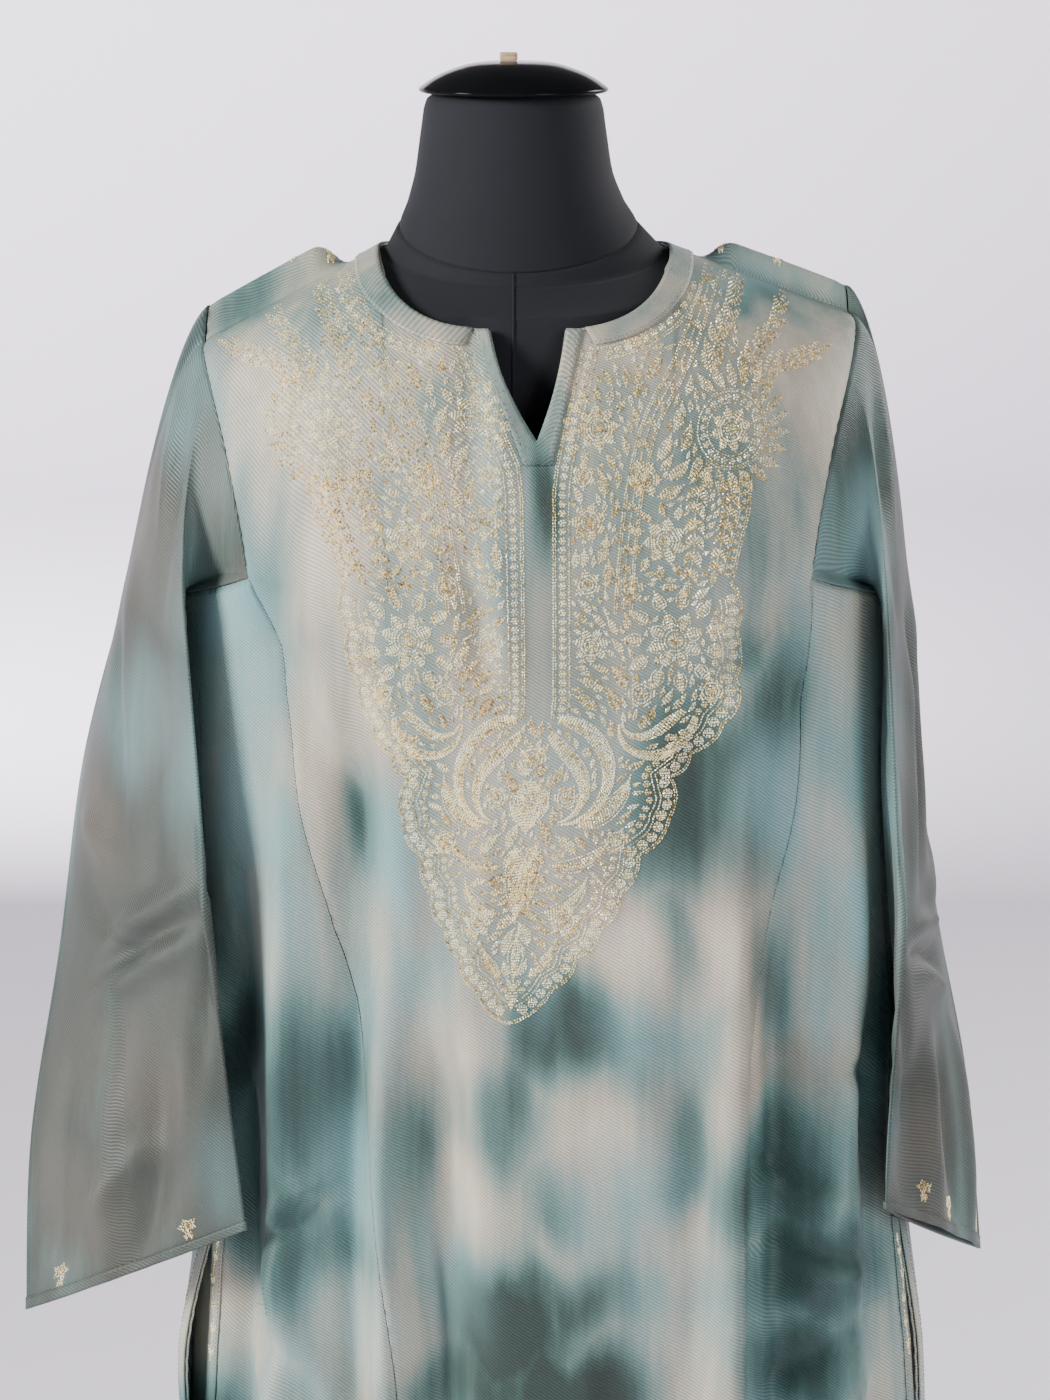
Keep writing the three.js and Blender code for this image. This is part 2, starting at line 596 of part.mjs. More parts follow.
function cuffBand(side) {
  return (u, v) => hangingPoint(u, lerp(cuffShare, 0.999, v), side);
}

const rowZ = (row) => lerp(HEM_Z, CHEST_Z, row / BODY_ROWS);
const pocketZ = (v) => lerp(rowZ(POCKET.firstRow), rowZ(POCKET.lastRow), v);

function pocketBand(side, face) {
  const towards = (side === "left") === (face === "front") ? -1 : 1;
  return (u, v) => {
    const angle = sideSeamAngle(side) + towards * lerp(0.004, POCKET.band / 190, u);
    return bodyPoint(angle, pocketZ(v), face === "back");
  };
}

function pocketLining(side) {
  const towards = side === "left" ? 1 : -1;
  return (u, v) => bodyPoint(sideSeamAngle(side) + towards * lerp(-0.14, 0.3, u), pocketZ(v));
}

// The dress form: rings up from its foot. The last ones end on the line of the cloth's shoulders.
const FORM_RINGS = [
  { z: 700, half: 150, front: 92, back: 98 },
  { z: 704, half: 158, front: 98, back: 104 },
  { z: 780, half: 168, front: 101, back: 108 },
  { z: 880, half: 160, front: 94, back: 98 },
  { z: 1000, half: 118, front: 84, back: 78 },
  { z: 1060, half: 122, front: 92, back: 80 },
  { z: 1140, half: 142, front: 112, back: 90 },
  { z: 1200, half: 152, front: 116, back: 92 },
  { z: 1250, half: 156, front: 106, back: 90 },
  { z: 1300, half: 159, front: 92, back: 80 },
];
const FORM_SHOULDER = {
  left: 158, right: 172, rows: 7, tilt: 0.3,
  frontLow: 79, frontHigh: 60, backLow: 70, backHigh: 56,
};
const NECK_SEAT = { z: 1410, left: 71, right: 77, front: 59, back: 55, tilt: 0.42 };
const NECK_RINGS = [
  { z: 1410.3, left: 70, right: 76, front: 58.5, back: 54.5, tilt: 0.42 },
  { z: 1424, left: 65, right: 68, front: 56, back: 54.5, tilt: 0.3 },
  { z: 1441, left: 60.5, right: 61, front: 54, back: 54, tilt: 0.1 },
  { z: 1462, left: 57.5, right: 57.5, front: 53, back: 53, tilt: 0 },
  { z: 1480, left: 55, right: 55, front: 51.5, back: 51.5, tilt: 0 },
  { z: 1487, left: 52.5, right: 52.5, front: 49.5, back: 49.5, tilt: 0 },
  { z: 1489.4, left: 47, right: 47, front: 44, back: 44, tilt: 0 },
];
const FORM_AROUND = 30;
const CLOTH_CLEARANCE = 4;
const OPEN_NECK_EASE = { deep: 140, high: 8 };

// One ring of the form. Its two ends may lie at different heights, and it may tilt down to the front.
function formRing({ z, zRight = z, left, right, front, back, tilt = 0, power = 2 }) {
  const ring = [];
  for (let i = 0; i < FORM_AROUND; i += 1) {
    const angle = (i / FORM_AROUND) * 2 * Math.PI;
    const x = (Math.cos(angle) > 0 ? right : left) * signedPower(Math.cos(angle), 2 / power);
    const y = (Math.sin(angle) > 0 ? back : front) * signedPower(Math.sin(angle), 2 / power);
    const level = lerp(z, zRight, (x + left) / (left + right));
    ring.push(new THREE.Vector3(x, y, level + tilt * y * (y > 0 ? 0.2 : 1)));
  }
  return ring;
}

// The rise at which the cloth passes a depth, found by halving.
function riseAtDepth(x, depth, face) {
  let low = 0;
  let high = 1;
  for (let i = 0; i < 24; i += 1) {
    const middle = (low + high) / 2;
    if (Math.abs(yokePoint(x, middle, face).y) > depth) low = middle;
    else high = middle;
  }
  return low;
}

// Draws a point of the form in and down where the cloth over it would come too near.
function insideCloth(point) {
  const face = point.y < 0 ? "front" : "back";
  const rise = riseAt(point.x, point.z);
  const past = Math.max(0, rise - neckRiseAt(point.x, face));
  if (point.z < CHEST_Z || past > 0.15) return point;
  const nearest = Math.max(0, Math.abs(yokePoint(point.x, rise, face).y) - CLOTH - CLOTH_CLEARANCE);
  const limit = nearest + past * OPEN_NECK_EASE.deep;
  if (rise < 0.9) point.y = clamp(point.y, -limit, limit);
  const above = riseAtDepth(point.x, Math.abs(point.y), face);
  if (above < 0.75) return point;
  const under = (CLOTH + FORM_GAP) / Math.sin((above * Math.PI) / 2);
  point.z = Math.min(point.z, yokePoint(point.x, above, face).z - under + past * OPEN_NECK_EASE.high);
  return point;
}

function torsoRings() {
  const rings = FORM_RINGS.map((ring) => formRing({ ...ring, left: ring.half, right: ring.half, power: 2.2 }));
  const shoulder = FORM_SHOULDER;
  const onCloth = (x) => shoulderZ(x) - CLOTH - FORM_GAP;
  for (let i = 0; i <= shoulder.rows; i += 1) {
    const t = i / shoulder.rows;
    const left = lerp(shoulder.left, -NECK_LEFT_X - 3, t);
    const right = lerp(shoulder.right, NECK_RIGHT_X - 3, t);
    const front = lerp(shoulder.frontLow, shoulder.frontHigh, t);
    const back = lerp(shoulder.backLow, shoulder.backHigh, t);
    const tilt = shoulder.tilt * t;
    rings.push(formRing({ z: onCloth(-left), zRight: onCloth(right), left, right, front, back, tilt, power: 2 }));
  }
  const covered = rings.map((ring) => ring.map(insideCloth));
  return [...covered, formRing(NECK_SEAT)];
}

// A closed solid through rings, with a face across each end.
function loftedSolid(rings) {
  const around = rings[0].length;
  const last = (rings.length - 1) * around;
  const faces = [];
  for (let j = 0; j < rings.length - 1; j += 1)
    for (let i = 0; i < around; i += 1) {
      const k = (i + 1) % around;
      const [a, b, c, d] = [j * around + i, j * around + k, (j + 1) * around + k, (j + 1) * around + i];
      faces.push(a, b, c, a, c, d);
    }
  for (let i = 1; i < around - 1; i += 1) {
    faces.push(0, i + 1, i);
    faces.push(last, last + i, last + i + 1);
  }
  const geometry = new THREE.BufferGeometry();
  const points = rings.flat().flatMap((p) => [p.x, p.y, p.z]);
  geometry.setAttribute("position", new THREE.Float32BufferAttribute(points, 3));
  geometry.setIndex(faces);
  return geometry;
}

// Turned parts, from a list of radius and height that runs round their outline.
function turned(outline, segments = 32) {
  const geometry = new THREE.LatheGeometry(outline.map(([r, z]) => new THREE.Vector2(r, z)), segments);
  return geometryOf(solidOf(geometry.rotateX(Math.PI / 2)));
}

const CAP = [
  [0, 1489.8], [56.5, 1489.8], [58, 1491], [57.2, 1493],
  [50, 1498.6], [38, 1504], [25, 1507.6], [0, 1508.6],
];
const PEG = { x: -3, y: -4, width: 11, deep: 7, high: 5 };
const POLE = { radius: 16, low: 12.3, high: 699.7 };
const BASE = [[0, 0], [199, 0], [200, 1], [200, 9], [197, 12], [0, 12]];
const COLLAR = [[16.3, 12.3], [32, 12.3], [32, 16], [26, 22], [22, 40], [16.3, 40]];

// Materials
const look = (color, roughness, metalness = 0) => new THREE.MeshStandardMaterial({ color, roughness, metalness });
const TWILL = look(0x8fa3a0, 0.75);
const TWILL_EDGE = look(0xa09f92, 0.75);
const LINING = look(0x7a6a5c, 0.85);
const COVER = look(0x1d2026, 0.9);
const GLOSS = look(0x0c0d0f, 0.25);
const WOOD = look(0xb9a384, 0.6);
const STEEL = look(0x2a2b2e, 0.45, 0.7);

const group = new THREE.Group();
function add(name, geometry, material) {
  geometry.computeVertexNormals();
  const mesh = new THREE.Mesh(geometry, material);
  mesh.name = name;
  group.add(mesh);
}

// The middle panels with the neck opened
const neckShare = (x) => (x - TIP_LEFT_X) / (TIP_RIGHT_X - TIP_LEFT_X);
const SHOULDER_COLUMNS = [0, 0.28, 0.56, 0.835];
const NECK_COLUMNS = [0, 1, 2, 3, 4, 5, 6].map((k) => k / 6);
const MIDDLE_COLUMNS = [
  ...SHOULDER_COLUMNS.map((share) => neckShare(NECK_LEFT_X) * share),
  ...NECK_COLUMNS.map((share) => lerp(neckShare(NECK_LEFT_X), neckShare(NECK_RIGHT_X), share)),
  ...SHOULDER_COLUMNS.map((share) => lerp(1, neckShare(NECK_RIGHT_X), share)).reverse(),
];
for (const [face, width] of [["front", 260], ["back", 270]]) {
  const surface = trimmed(middlePanel(face), width, 1100, [true, true, false, false]);
  const wall = clothWall(surface, MIDDLE_COLUMNS, MIDDLE_ROWS, face === "front" ? 1 : -1);
  add(`${face}_centre`, geometryOf(solidOf(wall).subtract(neckBlock(face))), TWILL);
}

// The side panels
for (const side of ["left", "right"])
  for (const face of ["front", "back"]) {
    const surface = trimmed(sidePanel(face, side), 130, 860, [true, true, false, true]);
    const outward = (side === "left") === (face === "front") ? 1 : -1;
    add(`${face}_side_${side}`, clothWall(surface, evenly(SIDE_COLUMNS), evenly(BODY_ROWS), outward), TWILL);
  }

// The sleeves with their turned cuffs
for (const side of ["left", "right"]) {
  const outward = side === "left" ? 1 : -1;
  const turns = sleeveTurns(side);
  const rows = [...evenly(SLEEVE_ROWS), lerp(ARMHOLE_V, 1, cuffShare)].sort((a, b) => a - b);
  add(`sleeve_${side}`, clothWall(sleeve(side), turns, rows, outward, PANEL, true), TWILL);
  add(`cuff_hem_${side}`, clothWall(cuffBand(side), turns, evenly(1), outward, ON_TOP, true), TWILL_EDGE);
}

// The strips at the neck, slit and pockets
add("neck_band", clothWall(neckBand(), bandColumns(), evenly(3), 1, AT_NECK), TWILL_EDGE);
add("slit_facing", clothWall(slitFacing(), evenly(24), evenly(1), -1, AT_NECK), TWILL_EDGE);
for (const side of ["left", "right"])
  for (const face of ["front", "back"]) {
    const outward = (side === "left") === (face === "front") ? 1 : -1;
    const rows = evenly(POCKET.lastRow - POCKET.firstRow);
    const band = clothWall(pocketBand(side, face), evenly(1), rows, outward, ON_TOP);
    add(`pocket_edge_${face}_${side}`, band, TWILL_EDGE);
  }
add("pocket_lining_left", clothWall(pocketLining("left"), evenly(5), evenly(5), -1, BEHIND), LINING);

// The dress form and its stand
add("form_torso", loftedSolid(torsoRings()), COVER);
add("form_neck", loftedSolid(NECK_RINGS.map(formRing)), COVER);
add("form_cap", turned(CAP), GLOSS);
const peg = new THREE.BoxGeometry(PEG.width, PEG.deep, PEG.high);
add("cap_peg", peg.translate(PEG.x, PEG.y, CAP[CAP.length - 1][1] + SEAM + PEG.high / 2), WOOD);
const pole = [[0, POLE.low], [POLE.radius, POLE.low], [POLE.radius, POLE.high], [0, POLE.high]];
add("stand_pole", turned(pole, 24), STEEL);
add("stand_collar", turned([...COLLAR, COLLAR[0]], 24), STEEL);
add("stand_base", turned(BASE, 40), STEEL);

export default group;
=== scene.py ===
# %% [markdown]
# # A pheran on a dress form
# A pheran is a long loose tunic. This one is cut from a softly dyed twill, with gold
# embroidery over its yoke, and hangs on a black dress form without limbs.
# The whole lesson works with one idea: every piece is a surface, a function of two
# parameters, worked out on a grid with numpy and then handed to Blender as a mesh.
# All lengths below are in millimetres and are turned to metres only when a mesh is made.

# %% Load the frame
import math

import bpy
import numpy as np
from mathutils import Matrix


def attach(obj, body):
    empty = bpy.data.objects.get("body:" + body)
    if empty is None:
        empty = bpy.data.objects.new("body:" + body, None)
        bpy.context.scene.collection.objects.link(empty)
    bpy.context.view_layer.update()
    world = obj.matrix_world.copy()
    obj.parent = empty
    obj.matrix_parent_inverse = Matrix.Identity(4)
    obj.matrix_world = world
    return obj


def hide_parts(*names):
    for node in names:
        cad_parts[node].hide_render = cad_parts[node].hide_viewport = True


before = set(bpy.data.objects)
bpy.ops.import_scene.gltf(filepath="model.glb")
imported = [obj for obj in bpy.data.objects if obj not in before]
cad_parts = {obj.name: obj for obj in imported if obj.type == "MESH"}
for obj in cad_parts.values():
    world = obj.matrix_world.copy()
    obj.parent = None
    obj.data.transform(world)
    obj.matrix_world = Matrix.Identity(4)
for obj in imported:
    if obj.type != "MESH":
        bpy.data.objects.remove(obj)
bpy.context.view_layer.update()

MM = 0.001

# %% [markdown]
# ## The camera
# The photograph is taken from a little above the shoulders with a long lens, so the
# camera stands more than two metres away and looks down by twelve and a half degrees.

# %% Camera
CAMERA_PLACE = (0.007, -2.365, 1.634)
LOOKS_DOWN = math.radians(12.5)
LENS = 98.6

camera_data = bpy.data.cameras.new("camera")
camera_data.lens = LENS
camera_data.sensor_width = 36
camera_data.sensor_fit = "AUTO"
camera = bpy.data.objects.new("camera", camera_data)
camera.location = CAMERA_PLACE
camera.rotation_euler = (math.pi / 2 - LOOKS_DOWN, 0, 0)
bpy.context.scene.collection.objects.link(camera)
bpy.context.scene.camera = camera

# %% [markdown]
# ## Small helpers
# A few short functions carry the whole model. `read` draws a smooth curve through the
# rows of a table, `bell` is the soft hump behind every fold, and `lerp` mixes two values.

# %% Helpers for numbers
def lerp(a, b, t):
    """Straight mix: a at t = 0, b at t = 1."""
    return a + (b - a) * t


def smoothstep(x, low, high):
    """Soft step: 0 below low, 1 above high, 3t^2 - 2t^3 between."""
    t = np.clip((x - low) / (high - low), 0, 1)
    return t * t * (3 - 2 * t)


def signed_power(x, power):
    """The power of the size, with the sign kept."""
    return np.sign(x) * np.abs(x) ** power


def bell(x):
    """Soft hump: e to the minus x squared."""
    return np.exp(-x * x)


def read(table, at, column):
    """A column at a place along column 0: a cubic through each two rows, with the slopes
    taken from the rows beside them."""
    at = np.asarray(at, float)
    keys = table[:, 0]
    way = 1 if keys[-1] > keys[0] else -1
    last = len(keys) - 1
    i = np.clip(np.searchsorted(way * keys, way * at, side="right") - 1, 0, last - 1)
    t = np.clip((at - keys[i]) / (keys[i + 1] - keys[i]), 0, 1)
    p0, p1, p2, p3 = (table[np.clip(i + k, 0, last), column] for k in (-1, 0, 1, 2))
    t2 = t * t
    t3 = t2 * t
    rise = (t3 - 2 * t2 + t) * (p2 - p0) / 2 + (t3 - t2) * (p3 - p1) / 2
    return (2 * t3 - 3 * t2 + 1) * p1 + (3 * t2 - 2 * t3) * p2 + rise


def unit(vectors):
    """Vectors made one long."""
    return vectors / np.maximum(np.linalg.norm(vectors, axis=-1, keepdims=True), 1e-9)


def hand(side, face="front"):
    """1 where a piece's u and v turn its normal outwards, -1 where they turn it inwards:
    the left and the right, and the front and the back, are each other's mirror image."""
    return 1 if (side == "left") == (face == "front") else -1

# %% [markdown]
# ## Making a mesh from a grid
# Cloth has two sides. A piece of cloth here is one grid of points moved out a little and
# the same grid moved in, closed by rims along its edges. The alternative is a single sheet
# with a Solidify modifier, but the closed wall keeps its edges sharp and needs no modifier.
# The flat cloth map is measured on the surface itself, so the weave keeps its real size.

# %% Grids to meshes
def grid_normals(points, outward, round_about=False):
    """The cross product of the steps between neighbours along rows and along columns."""
    if round_about:
        points = np.concatenate([points[:, -1:], points, points[:, :1]], axis=1)
    normals = unit(np.cross(np.gradient(points, axis=1), np.gradient(points, axis=0))) * outward
    return normals[:, 1:-1] if round_about else normals


def moved_out(points, heights, outward, round_about=False):
    """Every point moved along its normal by its own height."""
    return points + grid_normals(points, outward, round_about) * heights[..., None]


def flat_map(points, outward):
    """Distance from the middle column along each row, and distance up each column from the
    row that lies most level. Seen from outside, u runs to the right and v up."""
    rising = 1 if points[-1, :, 2].mean() > points[0, :, 2].mean() else -1
    middle = points.shape[1] // 2
    along = np.linalg.norm(np.diff(points, axis=1), axis=-1)
    u = np.concatenate([np.zeros((len(points), 1)), np.cumsum(along, axis=1)], axis=1)
    u -= u[:, middle:middle + 1]
    up = np.linalg.norm(np.diff(points, axis=0), axis=-1)
    v = np.concatenate([np.zeros((1, points.shape[1])), np.cumsum(up, axis=0)])
    level = np.argmin(np.ptp(points[..., 2], axis=1))
    return np.stack([u * outward * rising, (v - v[level]) * rising], axis=-1) * MM


def quads(rows, columns, round_about):
    """Corner numbers of every quad of a grid, and the same without the wrap for the map."""
    j, i = np.meshgrid(np.arange(rows - 1), np.arange(columns if round_about else columns - 1), indexing="ij")
    corners = [(j, i), (j, i + 1), (j + 1, i + 1), (j + 1, i)]
    faces = np.stack([a * columns + b % columns for a, b in corners], axis=-1).reshape(-1, 4)
    mapped = np.stack([a * (columns + 1) + b for a, b in corners], axis=-1).reshape(-1, 4)
    return faces, mapped


def new_object(name, vertices, faces, uvs=None, smooth=True):
    """A mesh object in metres at the origin, from vertices in millimetres."""
    mesh = bpy.data.meshes.new(name)
    mesh.from_pydata((vertices * MM).tolist(), [], faces.tolist() if hasattr(faces, "tolist") else faces)
    if uvs is not None:
        layer = mesh.uv_layers.new(name="cloth")
        layer.data.foreach_set("uv", uvs.reshape(-1).astype(np.float32))
    mesh.polygons.foreach_set("use_smooth", [smooth] * len(mesh.polygons))
    mesh.update()
    piece = bpy.data.objects.new(name, mesh)
    bpy.context.scene.collection.objects.link(piece)
    return piece


def rim_quads(rows, columns, count, round_about):
    """The quads that join the outer grid's border to the inner one's."""
    i = np.arange(columns if round_about else columns - 1)
    k = (i + 1) % columns
    top = (rows - 1) * columns
    parts = [np.stack([i, i + count, k + count, k], -1)]
    parts.append(np.stack([top + k, top + k + count, top + i + count, top + i], -1))
    if not round_about:
        j = np.arange(rows - 1) * columns
        n = j + columns
        end = columns - 1
        parts.append(np.stack([n, n + count, j + count, j], -1))
        parts.append(np.stack([j + end, j + end + count, n + end + count, n + end], -1))
    return np.concatenate(parts)


def cloth_wall(name, points, outward, layers, round_about=False):
    """A closed wall: the grid moved out by layers[0] and by layers[1], with rims."""
    outer = moved_out(points, np.full(points.shape[:2], layers[0]), outward, round_about)
    inner = moved_out(points, np.full(points.shape[:2], layers[1]), outward, round_about)
    rows, columns, _ = points.shape
    last = points[:, :1] if round_about else points[:, -1:]
    plan = flat_map(np.concatenate([points, last], axis=1), outward).reshape(-1, 2)
    faces, mapped = quads(rows, columns, round_about)
    count = rows * columns
    rims = rim_quads(rows, columns, count, round_about)
    all_faces = np.concatenate([faces, faces[:, ::-1] + count, rims])
    rim_map = (rims % count) // columns * (columns + 1) + (rims % count) % columns
    uvs = plan[np.concatenate([mapped, mapped[:, ::-1], rim_map])]
    if outward < 0:
        all_faces = all_faces[:, ::-1]
        uvs = uvs[:, ::-1]
    piece = new_object(name, np.concatenate([outer.reshape(-1, 3), inner.reshape(-1, 3)]), all_faces, uvs)
    print(f"{name}: {rows} x {columns} points, {flat_area(points):.4f} m2 of cloth")
    return piece


def flat_area(points):
    """The cloth's area in square metres: half of each quad's crossed diagonals, added up."""
    a = points[1:, 1:] - points[:-1, :-1]
    b = points[1:, :-1] - points[:-1, 1:]
    return 0.5 * np.linalg.norm(np.cross(a, b), axis=-1).sum() * MM * MM

# %% [markdown]
# ## The cloth round the body
# Below the chest the pheran is a tube that widens towards its hem. Each level section is a
# rounded oblong (a superellipse), and a table gives its size at eight heights. The main
# folds are soft ridges and troughs that grow out of the smooth cloth on their way down.

# %% Driving dimensions
CLOTH = 1.2
TRIM = 0.9
SEAM = 0.3
HEM_Z = 330
CHEST_Z = 1205
UNDERARM_Z = 1182
NECK_POINT_Z = 1396
NECK_ARCH = 8
NECK_LEFT_X = -82
NECK_RIGHT_X = 95
NECK_MIDDLE = (NECK_LEFT_X + NECK_RIGHT_X) / 2
NECK_HALF = (NECK_RIGHT_X - NECK_LEFT_X) / 2
TIP_LEFT_X = -191
TIP_RIGHT_X = 207
SLOPE_LEFT = 0.54
SLOPE_RIGHT = 0.36
FRONT_DROP_POWER = 1.12
BACK_DROP_MIDDLE = 0.5
BACK_DROP_OUTSIDE = 0.95
SIDE_SEAM = {"left": math.radians(158), "right": math.radians(17)}

# Height, middle, half width, depth in front, depth behind, power.
SECTIONS = np.array([
    (1205, 10, 210, 134, 112, 2.4),
    (1100, 12, 212, 131, 112, 2.35),
    (1000, 15, 214, 127, 114, 2.3),
    (900, 19, 220, 127, 118, 2.25),
    (800, 23, 229, 131, 124, 2.2),
    (700, 26, 238, 137, 131, 2.15),
    (520, 27, 252, 150, 144, 2.1),
    (330, 27, 268, 163, 157, 2.05),
])

# Height, and where the long seams beside the middle panel run, left and right.
LONG_SEAMS = {
    "front": np.array([
        (1205, -161, 181),
        (1164, -142, 179),
        (1067, -130, 174),
        (987, -112, 161),
        (942, -101, 152),
        (854, -91, 145),
        (710, -72, 148),
        (520, -62, 150),
        (330, -56, 152),
    ]),
    "back": np.array([
        (1205, -158, 178),
        (1067, -132, 160),
        (942, -112, 146),
        (710, -90, 138),
        (330, -78, 136),
    ]),
}

# Rise from the chest (0) to the shoulder tip (1), and the armholes, left and right.
ARMHOLES = {
    "front": np.array([
        (0, -161, 181),
        (0.3, -173, 193),
        (0.6, -186, 207),
        (0.85, -192, 211),
        (1, -191, 207),
    ]),
    "back": np.array([
        (0, -158, 178),
        (0.3, -166, 184),
        (0.6, -176, 194),
        (0.85, -186, 203),
        (1, -191, 207),
    ]),
}

# Across at the chest and at the hem, where it starts and is full, width, depth.
FOLDS = {
    "front": [
        (-98, -104, 1160, 1060, 14, -8),
        (-58, -38, 1010, 850, 17, -10),
        (-86, -78, 1000, 820, 15, 7),
        (138, 128, 1060, 880, 14, 7),
        (147, 150, 1000, 860, 6, -4),
        (164, 176, 1090, 900, 15, -9),
        (199, 214, 1130, 960, 14, 6),
        (-136, -150, 1120, 930, 14, 7),
        (-164, -182, 1080, 880, 15, -7),
        (18, 14, 830, 500, 26, 9),
        (64, 70, 760, 470, 24, -10),
    ],
    "back": [
        (-150, -170, 1110, 900, 16, 7),
        (-112, -118, 1060, 850, 17, -9),
        (-64, -62, 1020, 790, 20, 9),
        (-14, -8, 960, 700, 22, -9),
        (40, 48, 1010, 780, 20, 8),
        (92, 100, 1070, 840, 18, -9),
        (146, 160, 1100, 880, 17, 8),
        (190, 214, 1080, 860, 15, -6),
    ],
}
# The depths in the tables are those of stiff panels. Worn cloth folds this much deeper.
FOLD_DEEPER = 2.1
CREASE_DEEPER = 2.4
# How far each side stands out under its sleeve, and the heights between which it does.
SIDE_FULL = {"left": 9, "right": 12}
SIDE_FULL_FROM = 1190
SIDE_FULL_FADES = 940
SIDE_FULL_TO = 820

# The pocket mouths, and how far the cloth behind them gapes.
POCKET_MIDDLE = 691.4
POCKET_HALF = 92
POCKET_REACH = 0.2
POCKET_GAPE = {"left": 17, "right": 5}

# The rolls of spare cloth behind the shoulder seam: from which rise, where and how high.
ROLL_LOW = 0.74
ROLL_STARTS = 17
ROLL_FULL = 42
ROLL = {"left": 24, "right": 19}

# %% [markdown]
# ## Small creases
# Worn cloth also has short, soft pulls and dents. A crease here is one line in the front
# view with a width and a depth. It fades out at both ends. The lists below give them one
# by one: pulls that run from the armholes, pinches above the pockets, long soft drags.

# %% Creases
# From x, z to x, z, then width and depth. A negative depth is a dent.
CREASES = {
    "front": [
        (150, 838, 202, 824, 6, -2.2), (152, 824, 208, 806, 5, 1.8), (160, 792, 216, 772, 6, -2.4),
        (168, 778, 222, 758, 5, 1.8), (196, 905, 216, 880, 6, -2.0), (-152, 784, -110, 822, 6, -2.2),
        (-150, 796, -116, 832, 5, 1.8), (-36, 1230, -12, 1140, 10, -2.6), (-18, 1240, 6, 1150, 9, 1.8),
        (-120, 1290, -88, 1240, 14, 1.6), (-150, 1220, -118, 1120, 13, -3.0),
        (-140, 1195, -98, 1090, 11, 2.2), (-128, 1130, -92, 1010, 12, -3.0),
        (-112, 1080, -96, 930, 10, 2.0), (170, 1220, 136, 1140, 13, -2.8),
        (160, 1180, 122, 1085, 11, 2.0), (186, 1150, 158, 1040, 10, -2.4),
        (150, 1100, 128, 960, 12, 2.4), (118, 1130, 104, 1000, 14, -1.8), (60, 1090, 66, 960, 18, -1.6),
        (-20, 1060, -34, 900, 16, 1.8), (20, 980, 10, 820, 15, -2.0), (84, 990, 92, 800, 17, 2.0),
        (-64, 900, -52, 700, 10, -2.8), (-46, 820, -30, 600, 12, 2.2), (112, 900, 104, 660, 13, -2.4),
        (30, 760, 42, 560, 14, 2.0), (-10, 700, -16, 480, 15, -2.4), (-152, 780, -112, 690, 9, 2.6),
        (-158, 750, -120, 664, 8, -2.4), (-170, 720, -134, 640, 8, 2.0),
        (-144, 640, -120, 560, 10, -2.2), (158, 700, 196, 770, 9, 2.4), (166, 676, 214, 742, 8, -2.6),
        (176, 650, 226, 706, 9, 2.2), (160, 620, 200, 664, 10, -1.8), (-180, 960, -168, 860, 9, 2.0),
        (-196, 900, -186, 760, 9, -2.2), (204, 940, 214, 820, 9, -2.0), (190, 880, 196, 760, 10, 2.2),
        (-90, 620, -84, 440, 12, 2.2), (-20, 560, -24, 360, 13, 2.2), (96, 600, 102, 380, 13, 2.4),
        (150, 560, 160, 370, 12, -2.4), (196, 560, 208, 380, 12, 2.2), (-150, 520, -164, 370, 12, 2.2),
    ],
    "back": [
        (-130, 1290, -90, 1220, 16, 1.8), (150, 1290, 110, 1230, 16, -1.8),
        (-150, 1200, -110, 1090, 13, -2.8), (168, 1200, 126, 1090, 13, -2.8),
        (-110, 1160, -80, 1040, 14, 2.0), (130, 1150, 102, 1030, 14, 2.0),
        (-40, 1120, -52, 960, 18, -1.8), (60, 1100, 66, 940, 18, 1.8), (10, 1020, 16, 860, 16, -2.2),
        (-90, 900, -96, 720, 12, 2.4), (120, 880, 126, 700, 12, -2.4), (-30, 800, -26, 600, 14, 2.2),
        (76, 780, 70, 560, 14, -2.2), (-130, 760, -140, 560, 13, -2.4), (180, 760, 190, 560, 12, 2.4),
        (20, 620, 24, 400, 15, 2.4), (-60, 560, -62, 370, 14, -2.4), (110, 540, 116, 370, 14, 2.4),
        (-180, 560, -196, 380, 12, 2.2), (210, 560, 226, 380, 12, -2.2),
    ],
}


def crease_height(across, along, creases):
    """Each crease: depth x bell(distance from its line / width) x a soft start and end.
    Its line bends a little, as a slow sine of the place along it."""
    height = np.zeros(np.broadcast(across, along).shape)
    for k, (x1, z1, x2, z2, width, deep) in enumerate(creases):
        depth = deep * CREASE_DEEPER
        dx, dz = x2 - x1, z2 - z1
        length = math.hypot(dx, dz)
        t = ((across - x1) * dx + (along - z1) * dz) / length ** 2
        side = ((across - x1) * dz - (along - z1) * dx) / length
        side = side + 0.05 * length * np.sin(3.2 * t + k)
        ends = smoothstep(t, -0.12, 0.3) * (1 - smoothstep(t, 0.62, 1.12))
        height = height + depth * bell(side / width) * ends
    return height

# %% The surfaces of the body
def section_at(z):
    """Middle, half width, depth in front and behind, and power, read from the table."""
    z = np.clip(z, HEM_Z, CHEST_Z)
    return [read(SECTIONS, z, column) for column in (1, 2, 3, 4, 5)]


def angle_at(x, z, face):
    """The angle round the body of a place across one face: a quarter turn is the front."""
    middle, half, _, _, power = section_at(z)
    share = np.clip((x - middle) / half, -1, 1)
    angle = np.arccos(signed_power(share, power / 2))
    return angle if face == "front" else 2 * math.pi - angle


LEVELS = np.linspace(HEM_Z, CHEST_Z, 176)


def fold_lines():
    """The angle of every fold at each of the levels, worked out once."""
    down = (CHEST_Z - LEVELS) / (CHEST_Z - HEM_Z)
    return {face: [angle_at(lerp(fold[0], fold[1], down), LEVELS, face) for fold in folds]
            for face, folds in FOLDS.items()}


FOLD_LINES = fold_lines()


